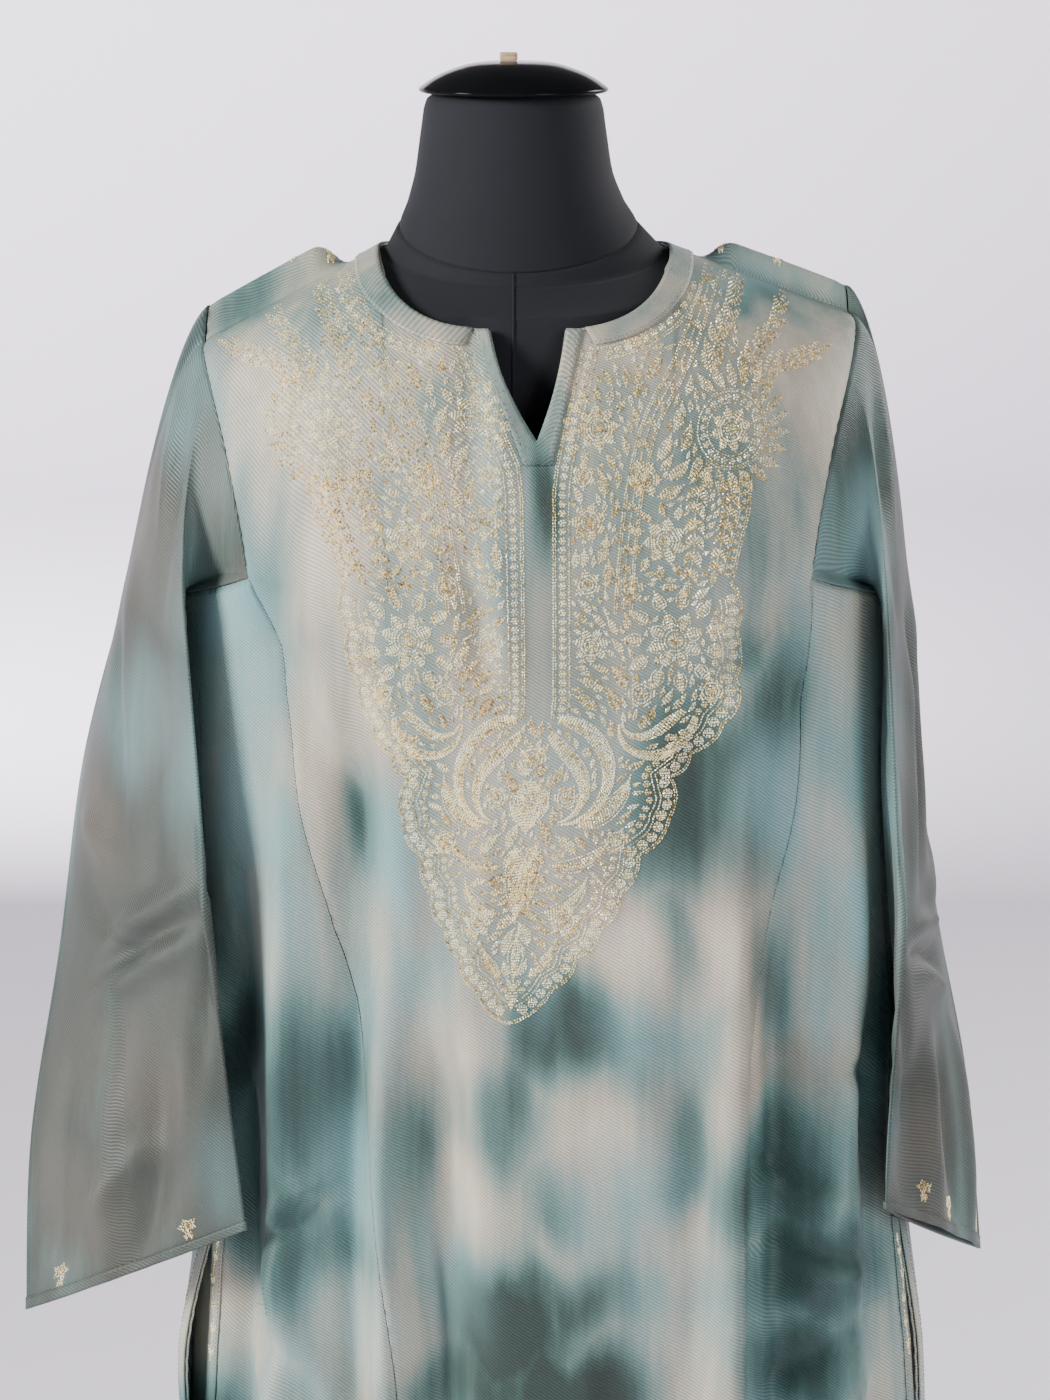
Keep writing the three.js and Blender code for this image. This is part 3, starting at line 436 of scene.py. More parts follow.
def fold_height(angle, z):
    """Each fold: depth x bell(distance / width) x how far it has grown."""
    wrapped = np.mod(angle, 2 * math.pi)
    _, half, front, _, _ = section_at(z)
    height = np.zeros(np.broadcast(angle, z).shape)
    for face in ("front", "back"):
        here = (wrapped < math.pi) == (face == "front")
        for (_, _, starts, grown, width, depth), line in zip(FOLDS[face], FOLD_LINES[face]):
            away = (wrapped - np.interp(z, LEVELS, line)) * (half + front) / 2 / width
            height = height + here * FOLD_DEEPER * depth * bell(away) * (1 - smoothstep(z, grown, starts))
    return height


def pocket_gape(angle, z, side):
    """The pocket's back edge stands off: a hump along the mouth that dies away behind it."""
    share = np.maximum(0, 1 - ((z - POCKET_MIDDLE) / POCKET_HALF) ** 2) ** 1.4
    turned_on = np.where(angle > math.pi * 1.5, angle - 2 * math.pi, angle)
    past = angle - SIDE_SEAM["left"] if side == "left" else SIDE_SEAM["right"] - turned_on
    stands = share * POCKET_GAPE[side] * bell(np.maximum(past, 0) / POCKET_REACH)
    return np.where(past < -0.001, 0, stands)


def side_fullness(cos, z):
    """The cloth stands out a little at both sides: full under the armhole, gone lower down."""
    full = np.where(cos < 0, -SIDE_FULL["left"], SIDE_FULL["right"]) * smoothstep(np.abs(cos), 0.72, 1.0)
    return full * smoothstep(z, SIDE_FULL_TO, SIDE_FULL_FADES) * (1 - smoothstep(z, SIDE_FULL_FROM, CHEST_Z))


def body_points(angle, z, gapes=None):
    """x = middle + half x cos^(2/p), y = -deep x sin^(2/p), then out along the section's
    own normal by the folds, creases and pocket."""
    angle, z = np.broadcast_arrays(np.asarray(angle, float), np.asarray(z, float))
    middle, half, front, back, power = section_at(z)
    cos, sin = np.cos(angle), np.sin(angle)
    deep = np.where(sin > 0, front, back)
    x = half * signed_power(cos, 2 / power)
    y = -deep * signed_power(sin, 2 / power)
    out = unit(np.stack([x / half ** 2, y / deep ** 2, np.zeros_like(x)], axis=-1))
    height = fold_height(angle, z)
    for face, sign in (("front", 1), ("back", -1)):
        height = height + crease_height(x + middle, z, CREASES[face]) * smoothstep(sign * sin, 0.0, 0.3)
    if gapes:
        height = height + pocket_gape(angle, z, gapes)
    x = x + side_fullness(cos, z)
    return np.stack([middle + x, y, z], axis=-1) + out * height[..., None]


def shoulder_z(x):
    """The shoulder seam: an arch over the neck and a straight slope to each tip."""
    across = 2 * (x - NECK_LEFT_X) / (NECK_RIGHT_X - NECK_LEFT_X) - 1
    arch = NECK_POINT_Z + NECK_ARCH * (1 - across * across)
    left = NECK_POINT_Z - SLOPE_LEFT * (NECK_LEFT_X - x)
    right = NECK_POINT_Z - SLOPE_RIGHT * (x - NECK_RIGHT_X)
    return np.where(x < NECK_LEFT_X, left, np.where(x > NECK_RIGHT_X, right, arch))


def yoke_points(x, rise, face):
    """The chest and shoulders: a quarter turn from the chest's own depth to the seam,
    z with the sine of the turn and y with a power of its cosine."""
    x, rise = np.broadcast_arrays(np.asarray(x, float), np.asarray(rise, float))
    turn = np.minimum(rise, 1.999) * math.pi / 2
    low = body_points(angle_at(x, CHEST_Z, face), CHEST_Z)[..., 1]
    power = FRONT_DROP_POWER
    seam_y = -SEAM / 2
    if face == "back":
        power = lerp(BACK_DROP_MIDDLE, BACK_DROP_OUTSIDE, smoothstep(np.abs(x - NECK_MIDDLE), 60, 130))
        seam_y = SEAM / 2
    y = seam_y + (low - seam_y) * signed_power(np.cos(turn), power)
    z = CHEST_Z + (shoulder_z(x) - CHEST_Z) * np.sin(turn)
    if face == "back":
        from_neck = np.where(x < 0, NECK_LEFT_X - x, x - NECK_RIGHT_X)
        swell = np.sin(math.pi * np.clip((rise - ROLL_LOW) / (1 - ROLL_LOW), 0, 1)) ** 2
        high = np.where(x < 0, ROLL["left"], ROLL["right"])
        roll = smoothstep(from_neck, ROLL_STARTS, ROLL_FULL) * swell * high
        y = y - roll * 0.35
        z = z + roll
    fades = 1 - smoothstep(rise, 0.55, 0.85)
    at_chest = crease_height(x, CHEST_Z, CREASES[face])
    dents = crease_height(x, z, CREASES[face]) - at_chest * (1 - smoothstep(rise, 0, 0.35))
    y = y + (dents * fades) * (-1 if face == "front" else 1)
    return np.stack([x, y, z], axis=-1)

# %% [markdown]
# ## The neckline
# The neckline is one closed curve round the neck. Its height is told as a rise: 0 at the
# chest and 1 at the shoulder seam. In front it is cut open by a slit that runs to a point.
# The middle panel's top edge simply follows this curve, so nothing has to be cut away.

# %% Neckline and slit
NECK_DEPTH = {"front": 1 - 0.541, "back": 1 - 0.797}
NECK_POWER = {"front": 0.62, "back": 0.8}
NECK_ACROSS = 0.68
SLIT_LEFT_X = -14
SLIT_RIGHT_X = 31
SLIT_FOOT_X = 14
SLIT_FOOT_Z = 1293


def neck_place(turn, out):
    """x = middle + (half + out) cos^0.68; the rise is 1 less the depth x sin^0.62 in front."""
    angle = np.asarray(turn, float) * 2 * math.pi
    cos, sin = np.cos(angle), np.sin(angle)
    front = sin >= 0
    depth = np.where(front, NECK_DEPTH["front"] + out / 330, NECK_DEPTH["back"] + out / 420)
    power = np.where(front, NECK_POWER["front"], NECK_POWER["back"])
    x = NECK_MIDDLE + (NECK_HALF + out) * signed_power(cos, NECK_ACROSS)
    return x, 1 - depth * np.abs(sin) ** power, front


def neck_turn_at(x, out=0):
    """The turn at which the line beside the neckline passes a place: neck_place backwards."""
    share = np.clip((np.asarray(x, float) - NECK_MIDDLE) / (NECK_HALF + out), -1, 1)
    return np.arccos(signed_power(share, 1 / NECK_ACROSS)) / (2 * math.pi)


def neck_rise_at(x, face):
    """The neckline's own rise over a place. The back's turns run the other way."""
    turn = neck_turn_at(x)
    return neck_place(turn if face == "front" else 1 - turn, 0)[1]


def rise_at(x, z):
    """The rise of a place in the front view: arcsine of its share of the height."""
    return np.arcsin(np.clip((z - CHEST_Z) / (shoulder_z(x) - CHEST_Z), -1, 1)) * 2 / math.pi


def z_at_rise(x, rise):
    """The chest's height, and the sine of the rise's quarter turn of what is above it."""
    return CHEST_Z + (shoulder_z(x) - CHEST_Z) * np.sin(rise * math.pi / 2)


def slit_top_z(x):
    """The height of the neckline in front over a place."""
    return z_at_rise(x, neck_rise_at(x, "front"))


def slit_edge_z(x):
    """The slit's edge above a place across: t solves x = top + (foot - top)(0.55 t^2 + 0.45 t)."""
    top_x = np.where(x < SLIT_FOOT_X, SLIT_LEFT_X, SLIT_RIGHT_X)
    share = np.clip((x - top_x) / (SLIT_FOOT_X - top_x), 0, 1)
    t = (-0.45 + np.sqrt(0.2025 + 2.2 * share)) / 1.1
    return lerp(slit_top_z(top_x), SLIT_FOOT_Z, t)


def top_rise(x, face):
    """Where the middle panel ends: the seam outside the neck, the neckline, or the slit."""
    inside = (x > NECK_LEFT_X) & (x < NECK_RIGHT_X)
    rise = np.where(inside, neck_rise_at(x, face), 1.0)
    if face == "front":
        in_slit = (x > SLIT_LEFT_X) & (x < SLIT_RIGHT_X)
        rise = np.where(in_slit, rise_at(x, slit_edge_z(x)), rise)
    return rise

# %% [markdown]
# ## The panels
# A pheran is cut from few, large, simple pieces: a middle panel in front and behind, and a
# flared side panel at each side of them. Each panel's own u runs across and v runs up. At
# its seams the cloth sinks a little, because the sewn turnings pull the edges in, and it
# puckers along the stitches. That small groove is what makes a seam read as a seam.

# %% Panels
CHEST_V = 0.75
LEVEL_SHARE = 20 / 23
SEAM_TRIM = 0.2
GROOVE_DEEP = 0.9
GROOVE_WIDE = 2.6
PUCKER_HIGH = 0.35
PUCKER_LONG = 11.0
PUCKER_REACH = 12.0


def middle_panel(u, v, face):
    """u from seam to seam and v from the hem to the top edge: level rows below the chest,
    and above it rows that share out each column's own rise, up to its top edge."""
    seams, armholes = LONG_SEAMS[face], ARMHOLES[face]
    z = lerp(HEM_Z, CHEST_Z, v / CHEST_V)
    x = lerp(read(seams, z, 1), read(seams, z, 2), u)
    z = np.minimum(z, CHEST_Z)
    below = body_points(angle_at(x, z, face), z)
    below[..., 2] = z
    share = (v - CHEST_V) / (1 - CHEST_V)
    top = top_rise(lerp(TIP_LEFT_X, TIP_RIGHT_X, u), face)
    x = lerp(read(armholes, share, 1), read(armholes, share, 2), u)
    above = yoke_points(x, share * top, face)
    return np.where((v < CHEST_V)[..., None], below, above)


def long_seam_angle(z, face, side):
    """The angle round the body at which a long seam passes a height."""
    seams = LONG_SEAMS[face]
    angle = angle_at(read(seams, z, 1 if side == "left" else 2), z, face)
    return angle - 2 * math.pi if side == "right" and face == "back" else angle


def armhole_floor(angle, side):
    """The armhole's bottom: lowest under the arm, at the chest line at the long seams."""
    underarm = math.pi if side == "left" else 0
    front = angle < underarm if side == "left" else angle > underarm
    chest = np.where(front, long_seam_angle(CHEST_Z, "front", side), long_seam_angle(CHEST_Z, "back", side))
    return lerp(UNDERARM_Z, CHEST_Z, np.abs((angle - underarm) / (chest - underarm)) ** 1.7)


def side_top(u, face, side):
    """Seam and floor depend on each other, so a few repeats find where they meet."""
    z = np.full(np.shape(u), float(CHEST_Z))
    for _ in range(12):
        angle = lerp(SIDE_SEAM[side], long_seam_angle(z, face, side), u)
        z = np.minimum(armhole_floor(angle, side), CHEST_Z)
    return z


def side_panel(u, v, face, side):
    """u from the side seam to the long seam. Level rows up to a share of the height, then
    rows that end on the armhole."""
    top = side_top(np.clip(u, 0, 1), face, side)
    level_z = lerp(HEM_Z, CHEST_Z, np.minimum(v, LEVEL_SHARE))
    z = lerp(level_z, top, np.maximum(0, (v - LEVEL_SHARE) / (1 - LEVEL_SHARE)))
    angle = lerp(SIDE_SEAM[side], long_seam_angle(z, face, side), u)
    return body_points(angle, z, side if face == "back" else None)


def seam_sink(u, v, width, length, edges):
    """A soft groove at each sewn edge, with small puckers beside it."""
    sinks = np.zeros(np.broadcast(u, v).shape)
    places = [(u * width, v * length), ((1 - u) * width, v * length),
              (v * length, u * width), ((1 - v) * length, u * width)]
    for on, (away, along) in zip(edges, places):
        if on:
            ripple = np.sin(2 * math.pi * along / PUCKER_LONG + 2.1 * np.sin(along / 37.0))
            sinks = sinks - GROOVE_DEEP * bell(away / GROOVE_WIDE)
            sinks = sinks + PUCKER_HIGH * ripple * bell((away - 5) / PUCKER_REACH)
    return sinks


def panel_points(surface, us, vs, size, edges, outward, *which):
    """A panel's grid, ended half a seam short of each sewn edge and sunk beside it."""
    u, v = np.meshgrid(us, vs)
    width, length = size
    left, right, low, high = [SEAM_TRIM if on else 0 for on in edges]
    across, up = lerp(left / width, 1 - right / width, u), lerp(low / length, 1 - high / length, v)
    points = surface(across, up, *which)
    return moved_out(points, seam_sink(u, v, width, length, edges), outward)

# %% [markdown]
# ## The sleeves
# Each sleeve is set into its armhole and hangs almost straight down, so its cloth lies in a
# flat loop with a soft crease at the front and at the back. A table gives the two creases
# at five places down the arm and how full the loop is between them. Over the shoulder the
# surface is a cubic curve that leaves along the body's cloth and arrives along the sleeve.

# %% Sleeves
SIDE_SHARE = 0.3
ARMHOLE_V = 0.36
CREASE_TURN = 0.34
CREASE_SHARPNESS = 2.4
SLEEVE_HANG = 430
SLEEVE_GIRTH = 400
CUFF_BAND = 11
CUFF_SHARE = 1 - CUFF_BAND / SLEEVE_HANG
LEAVES = (16, 70)
ARRIVES = (22, 190)

# Share down the sleeve, front crease x y z, back crease x y z, fullness outside and inside.
SLEEVES = {
    "left": np.array([
        (0, -199, -90, 1184, -252, 74, 1160, 15, 7),
        (0.3, -191, -100, 1070, -279, 58, 1058, 15, 7),
        (0.55, -184, -106, 972, -294, 28, 940, 14, 8),
        (0.78, -175, -109, 880, -312, -4, 822, 13, 9),
        (1, -166, -113, 798, -315, -30, 713, 11, 12),
    ]),
    "right": np.array([
        (0, 226, -90, 1184, 252, 76, 1164, 8, 8),
        (0.3, 233, -96, 1068, 263, 74, 1060, 7, 9),
        (0.55, 238, -100, 967, 277, 66, 952, 8, 9),
        (0.78, 233, -106, 878, 297, 50, 846, 11, 7),
        (1, 231, -108, 810, 308, 38, 729, 12, 8),
    ]),
}

# In millimetres round the loop and down from the armhole's foot: from, to, width, depth.
# The first four, along the front edge, are the same on both sleeves.
SLEEVE_EDGE = [
    (134, -60, 136, 440, 2.6, 1.3),
    (143, -60, 144, 440, 4.5, -1.3),
    (140, 40, 172, -210, 7, -3.0),
    (150, 60, 184, -200, 8, 2.0),
]
SLEEVE_CREASES = {
    "left": [
        *SLEEVE_EDGE,
        (150, 60, 176, 210, 10, -2.4), (190, -40, 200, 120, 13, 2.0), (218, 20, 206, 190, 10, -2.2),
        (140, 180, 210, 232, 9, 2.8), (146, 200, 216, 256, 7, -3.2), (150, 226, 220, 274, 8, 2.4),
        (230, 196, 176, 246, 8, -2.2), (240, 150, 196, 190, 10, 2.0), (150, 300, 170, 420, 9, 2.2),
        (176, 290, 190, 430, 8, -2.6), (208, 300, 204, 430, 9, 2.4), (236, 280, 232, 420, 9, -2.0),
        (168, 350, 226, 386, 8, 2.0), (60, 60, 40, 300, 14, -2.2), (-60, 40, -40, 280, 14, 2.0),
        (0, 120, 8, 380, 15, -2.0),
    ],
    "right": [
        *SLEEVE_EDGE,
        (160, 30, 168, 200, 9, 2.4), (180, 0, 188, 190, 8, -3.0), (202, -20, 204, 200, 9, 2.4),
        (222, 40, 220, 200, 9, -2.2), (150, 210, 214, 236, 8, 2.8), (150, 232, 220, 262, 7, -3.2),
        (160, 250, 226, 280, 8, 2.4), (236, 180, 190, 226, 9, 1.8), (156, 300, 160, 430, 9, -2.2),
        (180, 290, 184, 430, 8, 2.8), (200, 300, 208, 430, 8, -2.6), (226, 290, 230, 430, 9, 2.2),
        (70, 60, 50, 300, 14, 2.2), (-70, 40, -50, 280, 14, -2.0), (0, 120, 8, 380, 15, 2.0),
    ],
}


def armhole_points(turn, side, outset):
    """The armhole as a closed curve: the floor under the arm, then up the yoke's edge."""
    wrapped = np.mod(turn, 1.0)
    share = np.where(wrapped <= 0.5, wrapped, 1 - wrapped) * 2
    rise = np.clip((share - SIDE_SHARE) / (1 - SIDE_SHARE), 0, 1)
    column = 1 if side == "left" else 2
    result = None
    for face in ("front", "back"):
        x = read(ARMHOLES[face], rise, column) - hand(side) * outset
        high = yoke_points(x, rise, face)
        underarm = math.pi if side == "left" else 0
        angle = lerp(underarm, long_seam_angle(CHEST_Z, face, side), share / SIDE_SHARE)
        low = body_points(angle, armhole_floor(angle, side) + outset)
        here = np.where((share > SIDE_SHARE)[..., None], high, low)
        result = here if result is None else np.where((wrapped <= 0.5)[..., None], result, here)
    return result


def hanging_points(turn, s, side):
    """Straight mix from the back crease to the front one, plus the fullness x
    (1 - |across|^2.4) square to it."""
    turn, s = np.broadcast_arrays(np.asarray(turn, float), np.asarray(s, float))
    wrapped = turn - np.floor(turn + 0.5)
    front = np.stack([read(SLEEVES[side], s, k) for k in (1, 2, 3)], axis=-1)
    back = np.stack([read(SLEEVES[side], s, k) for k in (4, 5, 6)], axis=-1)
    inner = np.abs(wrapped) <= CREASE_TURN
    from_top = wrapped - np.sign(wrapped) * 0.5
    across = np.where(inner, wrapped / CREASE_TURN, -from_top / (0.5 - CREASE_TURN))
    full = np.where(inner, -read(SLEEVES[side], s, 8), read(SLEEVES[side], s, 7))
    full = full * (1 - np.abs(across) ** CREASE_SHARPNESS)
    width = front - back
    away = unit(np.stack([-width[..., 1], width[..., 0], np.zeros_like(s)], axis=-1))
    away = away * np.sign(away[..., :1]) * -hand(side)
    return lerp(back, front, ((across + 1) / 2)[..., None]) + away * full[..., None]


def sleeve_start(turns, side):
    """The armhole's points and the way the cloth leaves them, evened out over its corners."""
    wrapped = np.mod(turns, 1.0)
    start = armhole_points(turns, side, np.where((wrapped > 0.5) & (wrapped < 0.65), SEAM * 2, SEAM / 2))
    heading = 0
    for step in (-0.03, -0.015, 0, 0.015, 0.03):
        heading = heading + armhole_points(turns + step, side, 3) - armhole_points(turns + step, side, 0)
    return start, unit(heading)


def sleeve_points(turns, vs, side):
    """A cubic from the armhole to the hanging loop, then the loop itself, with creases
    and with a groove where the sleeve is set in."""
    u, v = np.meshgrid(turns, vs)
    hanging = hanging_points(u, np.clip((v - ARMHOLE_V) / (1 - ARMHOLE_V), 0, 1), side)
    start, heading = sleeve_start(turns, side)
    end = hanging_points(turns, np.zeros_like(turns), side)
    down = unit(hanging_points(turns, np.full_like(turns, 0.05), side) - end)
    height = ((1 - np.cos(turns * 2 * math.pi)) / 2)[:, None]
    leave = heading * lerp(LEAVES[0], LEAVES[1], height)
    arrive = down * lerp(ARRIVES[0], ARRIVES[1], height)
    t = np.clip(v / ARMHOLE_V, 0, 1)[..., None]
    t2 = t * t
    t3 = t2 * t
    cap = start * (2 * t3 - 3 * t2 + 1) + leave * (t3 - 2 * t2 + t) + end * (3 * t2 - 2 * t3)
    cap = cap + arrive * (t3 - t2)
    points = np.where((v > ARMHOLE_V)[..., None], hanging, cap)
    round_mm = (u - np.floor(u + 0.25)) * SLEEVE_GIRTH
    down_mm = (v - ARMHOLE_V) / (1 - ARMHOLE_V) * SLEEVE_HANG
    creases = crease_height(round_mm, down_mm, SLEEVE_CREASES[side]) * smoothstep(v, 0.03, 0.25)
    groove = GROOVE_DEEP * bell(v * SLEEVE_GIRTH / GROOVE_WIDE)
    return moved_out(points, creases - groove, hand(side), True)

# %% [markdown]
# ## Placing the panels
# The middle panels need narrow columns where the neckline falls steeply and inside the
# slit. The columns there are taken at even steps round the neckline, not at even widths.

# %% Columns and rows
COLUMN = 4.0
SLIT_COLUMN = 2.0
NECK_COLUMNS = 70
ROW = 5.0
MIDDLE_SIZE = (300, 1100)
SIDE_SIZE = (130, 860)
# How far each kind of piece stands out from its surface: its outer face and its inner one.
PANEL = (0, -CLOTH)
ON_TOP = (SEAM + TRIM, SEAM)
AT_NECK = (0.5 + TRIM, 0.5)
BEHIND = (-CLOTH - 0.9, -CLOTH - 0.9 - TRIM)
EDGE_STEPS = (0, 0.0035, 0.008, 0.014)


def even(count):
    """Even steps from 0 to 1."""
    return np.linspace(0, 1, count + 1)


def with_edges(us):
    """Adds narrow columns beside both edges, so that the seam grooves are round."""
    added = np.concatenate([us, EDGE_STEPS, 1 - np.array(EDGE_STEPS)])
    added = np.unique(np.round(added, 6))
    keep = np.concatenate([[True], np.diff(added) > 0.002])
    keep[-1] = True
    return added[keep]


def middle_columns(face):
    """Even steps on the shoulders, even turns round the neckline and fine ones at the slit."""
    neck_x = neck_place(np.linspace(0.5, 0.0, NECK_COLUMNS), 0)[0]
    left = np.arange(TIP_LEFT_X, NECK_LEFT_X, COLUMN)
    right = np.arange(TIP_RIGHT_X, NECK_RIGHT_X, -COLUMN)
    x = [left, neck_x, right]
    if face == "front":
        x[1] = neck_x[(neck_x < SLIT_LEFT_X - 1) | (neck_x > SLIT_RIGHT_X + 1)]
        x.append(np.linspace(SLIT_LEFT_X, SLIT_FOOT_X, int(28 / SLIT_COLUMN) + 1))
        x.append(np.linspace(SLIT_FOOT_X, SLIT_RIGHT_X, int(17 / SLIT_COLUMN) + 2))
    x = np.unique(np.round(np.concatenate(x), 4))
    return with_edges((x - TIP_LEFT_X) / (TIP_RIGHT_X - TIP_LEFT_X))


def middle_rows():
    """Even rows up to the chest and finer ones above it."""
    body = np.linspace(0, CHEST_V, int((CHEST_Z - HEM_Z) / ROW) + 1)
    yoke = np.linspace(CHEST_V, 1, 52)
    return np.unique(np.concatenate([body, yoke]))

# %% Make the panels
panels = {}


def add_panel(name, node, points, outward, round_about=False):
    """A wall that takes the place of the plain panel of that name."""
    panels[name] = cloth_wall(name, points, outward, PANEL, round_about)
    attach(panels[name], "root")
    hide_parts(node)


for face, outward in (("front", 1), ("back", -1)):
    us, vs = middle_columns(face), middle_rows()
    sewn = (True, True, False, False)
    points = panel_points(middle_panel, us, vs, MIDDLE_SIZE, sewn, outward, face)
    add_panel(f"pheran_{face}_middle", f"{face}_centre", points, outward)

for side in ("left", "right"):
    for face in ("front", "back"):
        outward = hand(side, face)
        us, vs = with_edges(even(34)), even(int(SIDE_SIZE[1] / ROW))
        sewn = (True, True, False, True)
        points = panel_points(side_panel, us, vs, SIDE_SIZE, sewn, outward, face, side)
        add_panel(f"pheran_{face}_side_{side}", f"{face}_side_{side}", points, outward)

# %% Make the sleeves
CREASE_COLUMNS = CREASE_TURN + np.arange(-4, 5) * 0.0042
SLEEVE_TURNS = np.unique(np.concatenate([np.arange(100) / 100, CREASE_COLUMNS, [1 - CREASE_TURN]]))
CUFF_V = lerp(ARMHOLE_V, 1, CUFF_SHARE)
SLEEVE_VS = np.unique(np.concatenate([even(120), [0.002, 0.006], lerp(CUFF_V, 1, even(4))]))
sleeves = {}
for side in ("left", "right"):
    sleeves[side] = sleeve_points(SLEEVE_TURNS, SLEEVE_VS, side)
    add_panel(f"pheran_sleeve_{side}", f"sleeve_{side}", sleeves[side], hand(side), True)

# %% [markdown]
# ## Bands and hems
# The neckline and the slit are finished with strips of the same cloth, the cuffs with a
# rolled hem and the pocket mouths with an edge strip. Each strip is the surface below it,
# moved out by its own thickness, so it follows every fold that it crosses.

# %% Strips
NECK_BAND_FROM = 0.6
NECK_BAND_TO = 15
FACING_LEFT_X = -23
FACING_RIGHT_X = 41
FACING_FOOT_LEFT_X = 6
FACING_FOOT_RIGHT_X = 23
FACING_FOOT_Z = 1279
FACING_CORNER = 0.85
POCKET_BAND = 13
POCKET_LOW = lerp(HEM_Z, CHEST_Z, 7 / 23)
POCKET_HIGH = lerp(HEM_Z, CHEST_Z, 12 / 23)


def neck_points(turn, out):
    """The cloth under a line beside the neckline, in front and behind."""
    x, rise, front = neck_place(turn, out)
    points = [yoke_points(x, rise, face) for face in ("front", "back")]
    return np.where(front[..., None], points[0], points[1])


def neck_band(u, v):
    """Round the neckline from one side of the slit to the other, v outwards."""
    start = neck_turn_at(FACING_LEFT_X - 1.5)
    end = neck_turn_at(FACING_RIGHT_X + 1.5) + 1
    return neck_points(lerp(start, end, u), lerp(NECK_BAND_FROM, NECK_BAND_TO, v))


def slit_facing(u, v):
    """Down one side of the slit and up the other; v runs from its edge to its outer line."""
    u, v = np.broadcast_arrays(np.asarray(u, float), np.asarray(v, float))
    left = u < 0.5
    t = np.where(left, u * 2, 2 - u * 2)
    s = np.clip(t, 0, 0.999)
    top_x = np.where(left, SLIT_LEFT_X, SLIT_RIGHT_X)
    in_x = lerp(top_x, SLIT_FOOT_X, s * s * 0.55 + s * 0.45) + np.where(left, -0.5, 0.5) * (1 - t)
    in_z = lerp(slit_top_z(top_x), SLIT_FOOT_Z, s) - 0.6 * t
    out_top = np.where(left, FACING_LEFT_X, FACING_RIGHT_X)
    foot_x = np.where(left, FACING_FOOT_LEFT_X, FACING_FOOT_RIGHT_X)
    down = np.clip(t / FACING_CORNER, None, 1)
    across = np.clip((t - FACING_CORNER) / (1 - FACING_CORNER), 0, 1)
    out_x = lerp(lerp(out_top, foot_x, down), SLIT_FOOT_X, across)
    out_z = lerp(slit_top_z(out_top) - 1, FACING_FOOT_Z, down)
    x, z = lerp(in_x, out_x, v), lerp(in_z, out_z, v)
    return yoke_points(x, rise_at(x, z), "front")


def pocket_band(u, v, side, face):
    """A strip beside the side seam: u away from the seam and v upwards."""
    angle = SIDE_SEAM[side] - hand(side, face) * lerp(0.004, POCKET_BAND / 190, u)
    return body_points(angle, lerp(POCKET_LOW, POCKET_HIGH, v), side if face == "back" else None)


def pocket_lining(u, v, side):
    """The part of the pocket bag that shows through its mouth, across the side seam."""
    angle = SIDE_SEAM[side] + hand(side) * lerp(-0.14, 0.3, u)
    return body_points(angle, lerp(POCKET_LOW, POCKET_HIGH, v))

# %% Make the strips
strips = {}


def add_strip(node, points, outward, layers=ON_TOP, round_about=False):
    """A wall that takes the place of the plain strip of that name."""
    strips[node] = cloth_wall(f"pheran_{node}", points, outward, layers, round_about)
    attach(strips[node], "root")
    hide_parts(node)


def on_grid(surface, across, up, *which):
    """A surface's points at even steps."""
    return surface(*np.meshgrid(even(across), even(up)), *which)


add_strip("neck_band", on_grid(neck_band, 150, 6), 1, AT_NECK)
add_strip("slit_facing", on_grid(slit_facing, 72, 4), -1, AT_NECK)
for side in ("left", "right"):
    rows = SLEEVE_VS >= CUFF_V
    add_strip(f"cuff_hem_{side}", sleeves[side][rows], hand(side), ON_TOP, True)
    for face in ("front", "back"):
        edge = on_grid(pocket_band, 6, 50, side, face)
        add_strip(f"pocket_edge_{face}_{side}", edge, hand(side, face))
add_strip("pocket_lining_left", on_grid(pocket_lining, 20, 30, "left"), -1, BEHIND)

# %% [markdown]
# ## The dress form
# A dress form is a padded torso under stretched cotton, with a separately covered neck, a
# domed cap and a peg. Its rings are read from a table. Where the pheran lies over it, the
# form is drawn in until it clears the cloth.

# %% Form tables
FORM_GAP = 0.7
FORM_AROUND = 120
CLOTH_CLEARANCE = 4
OPEN_NECK_DEEP = 140
OPEN_NECK_HIGH = 8
# Height, half width, front, back.
FORM_RINGS = np.array([
    (700, 150, 92, 98),
    (704, 158, 98, 104),
    (780, 168, 101, 108),
    (880, 160, 94, 98),
    (1000, 118, 84, 78),
    (1060, 122, 92, 80),
    (1140, 142, 112, 90),
    (1200, 152, 116, 92),
    (1250, 156, 106, 90),
    (1300, 159, 92, 80),
])
# Share of the way up the shoulder, then left, right, front, back, tilt.
FORM_SHOULDER = np.array([
    (0, 158, 172, 79, 70, 0),
    (1, -NECK_LEFT_X - 3, NECK_RIGHT_X - 3, 60, 56, 0.3),
])
# Height, left, right, front, back, tilt.
NECK_SEAT = (1410, 71, 77, 59, 55, 0.42)
NECK_RINGS = np.array([
    (1410.3, 70, 76, 58.5, 54.5, 0.42),
    (1424, 65, 68, 56, 54.5, 0.3),
    (1441, 60.5, 61, 54, 54, 0.1),
    (1462, 57.5, 57.5, 53, 53, 0),
    (1480, 55, 55, 51.5, 51.5, 0),
    (1487, 52.5, 52.5, 49.5, 49.5, 0),
    (1489.4, 47, 47, 44, 44, 0),
])

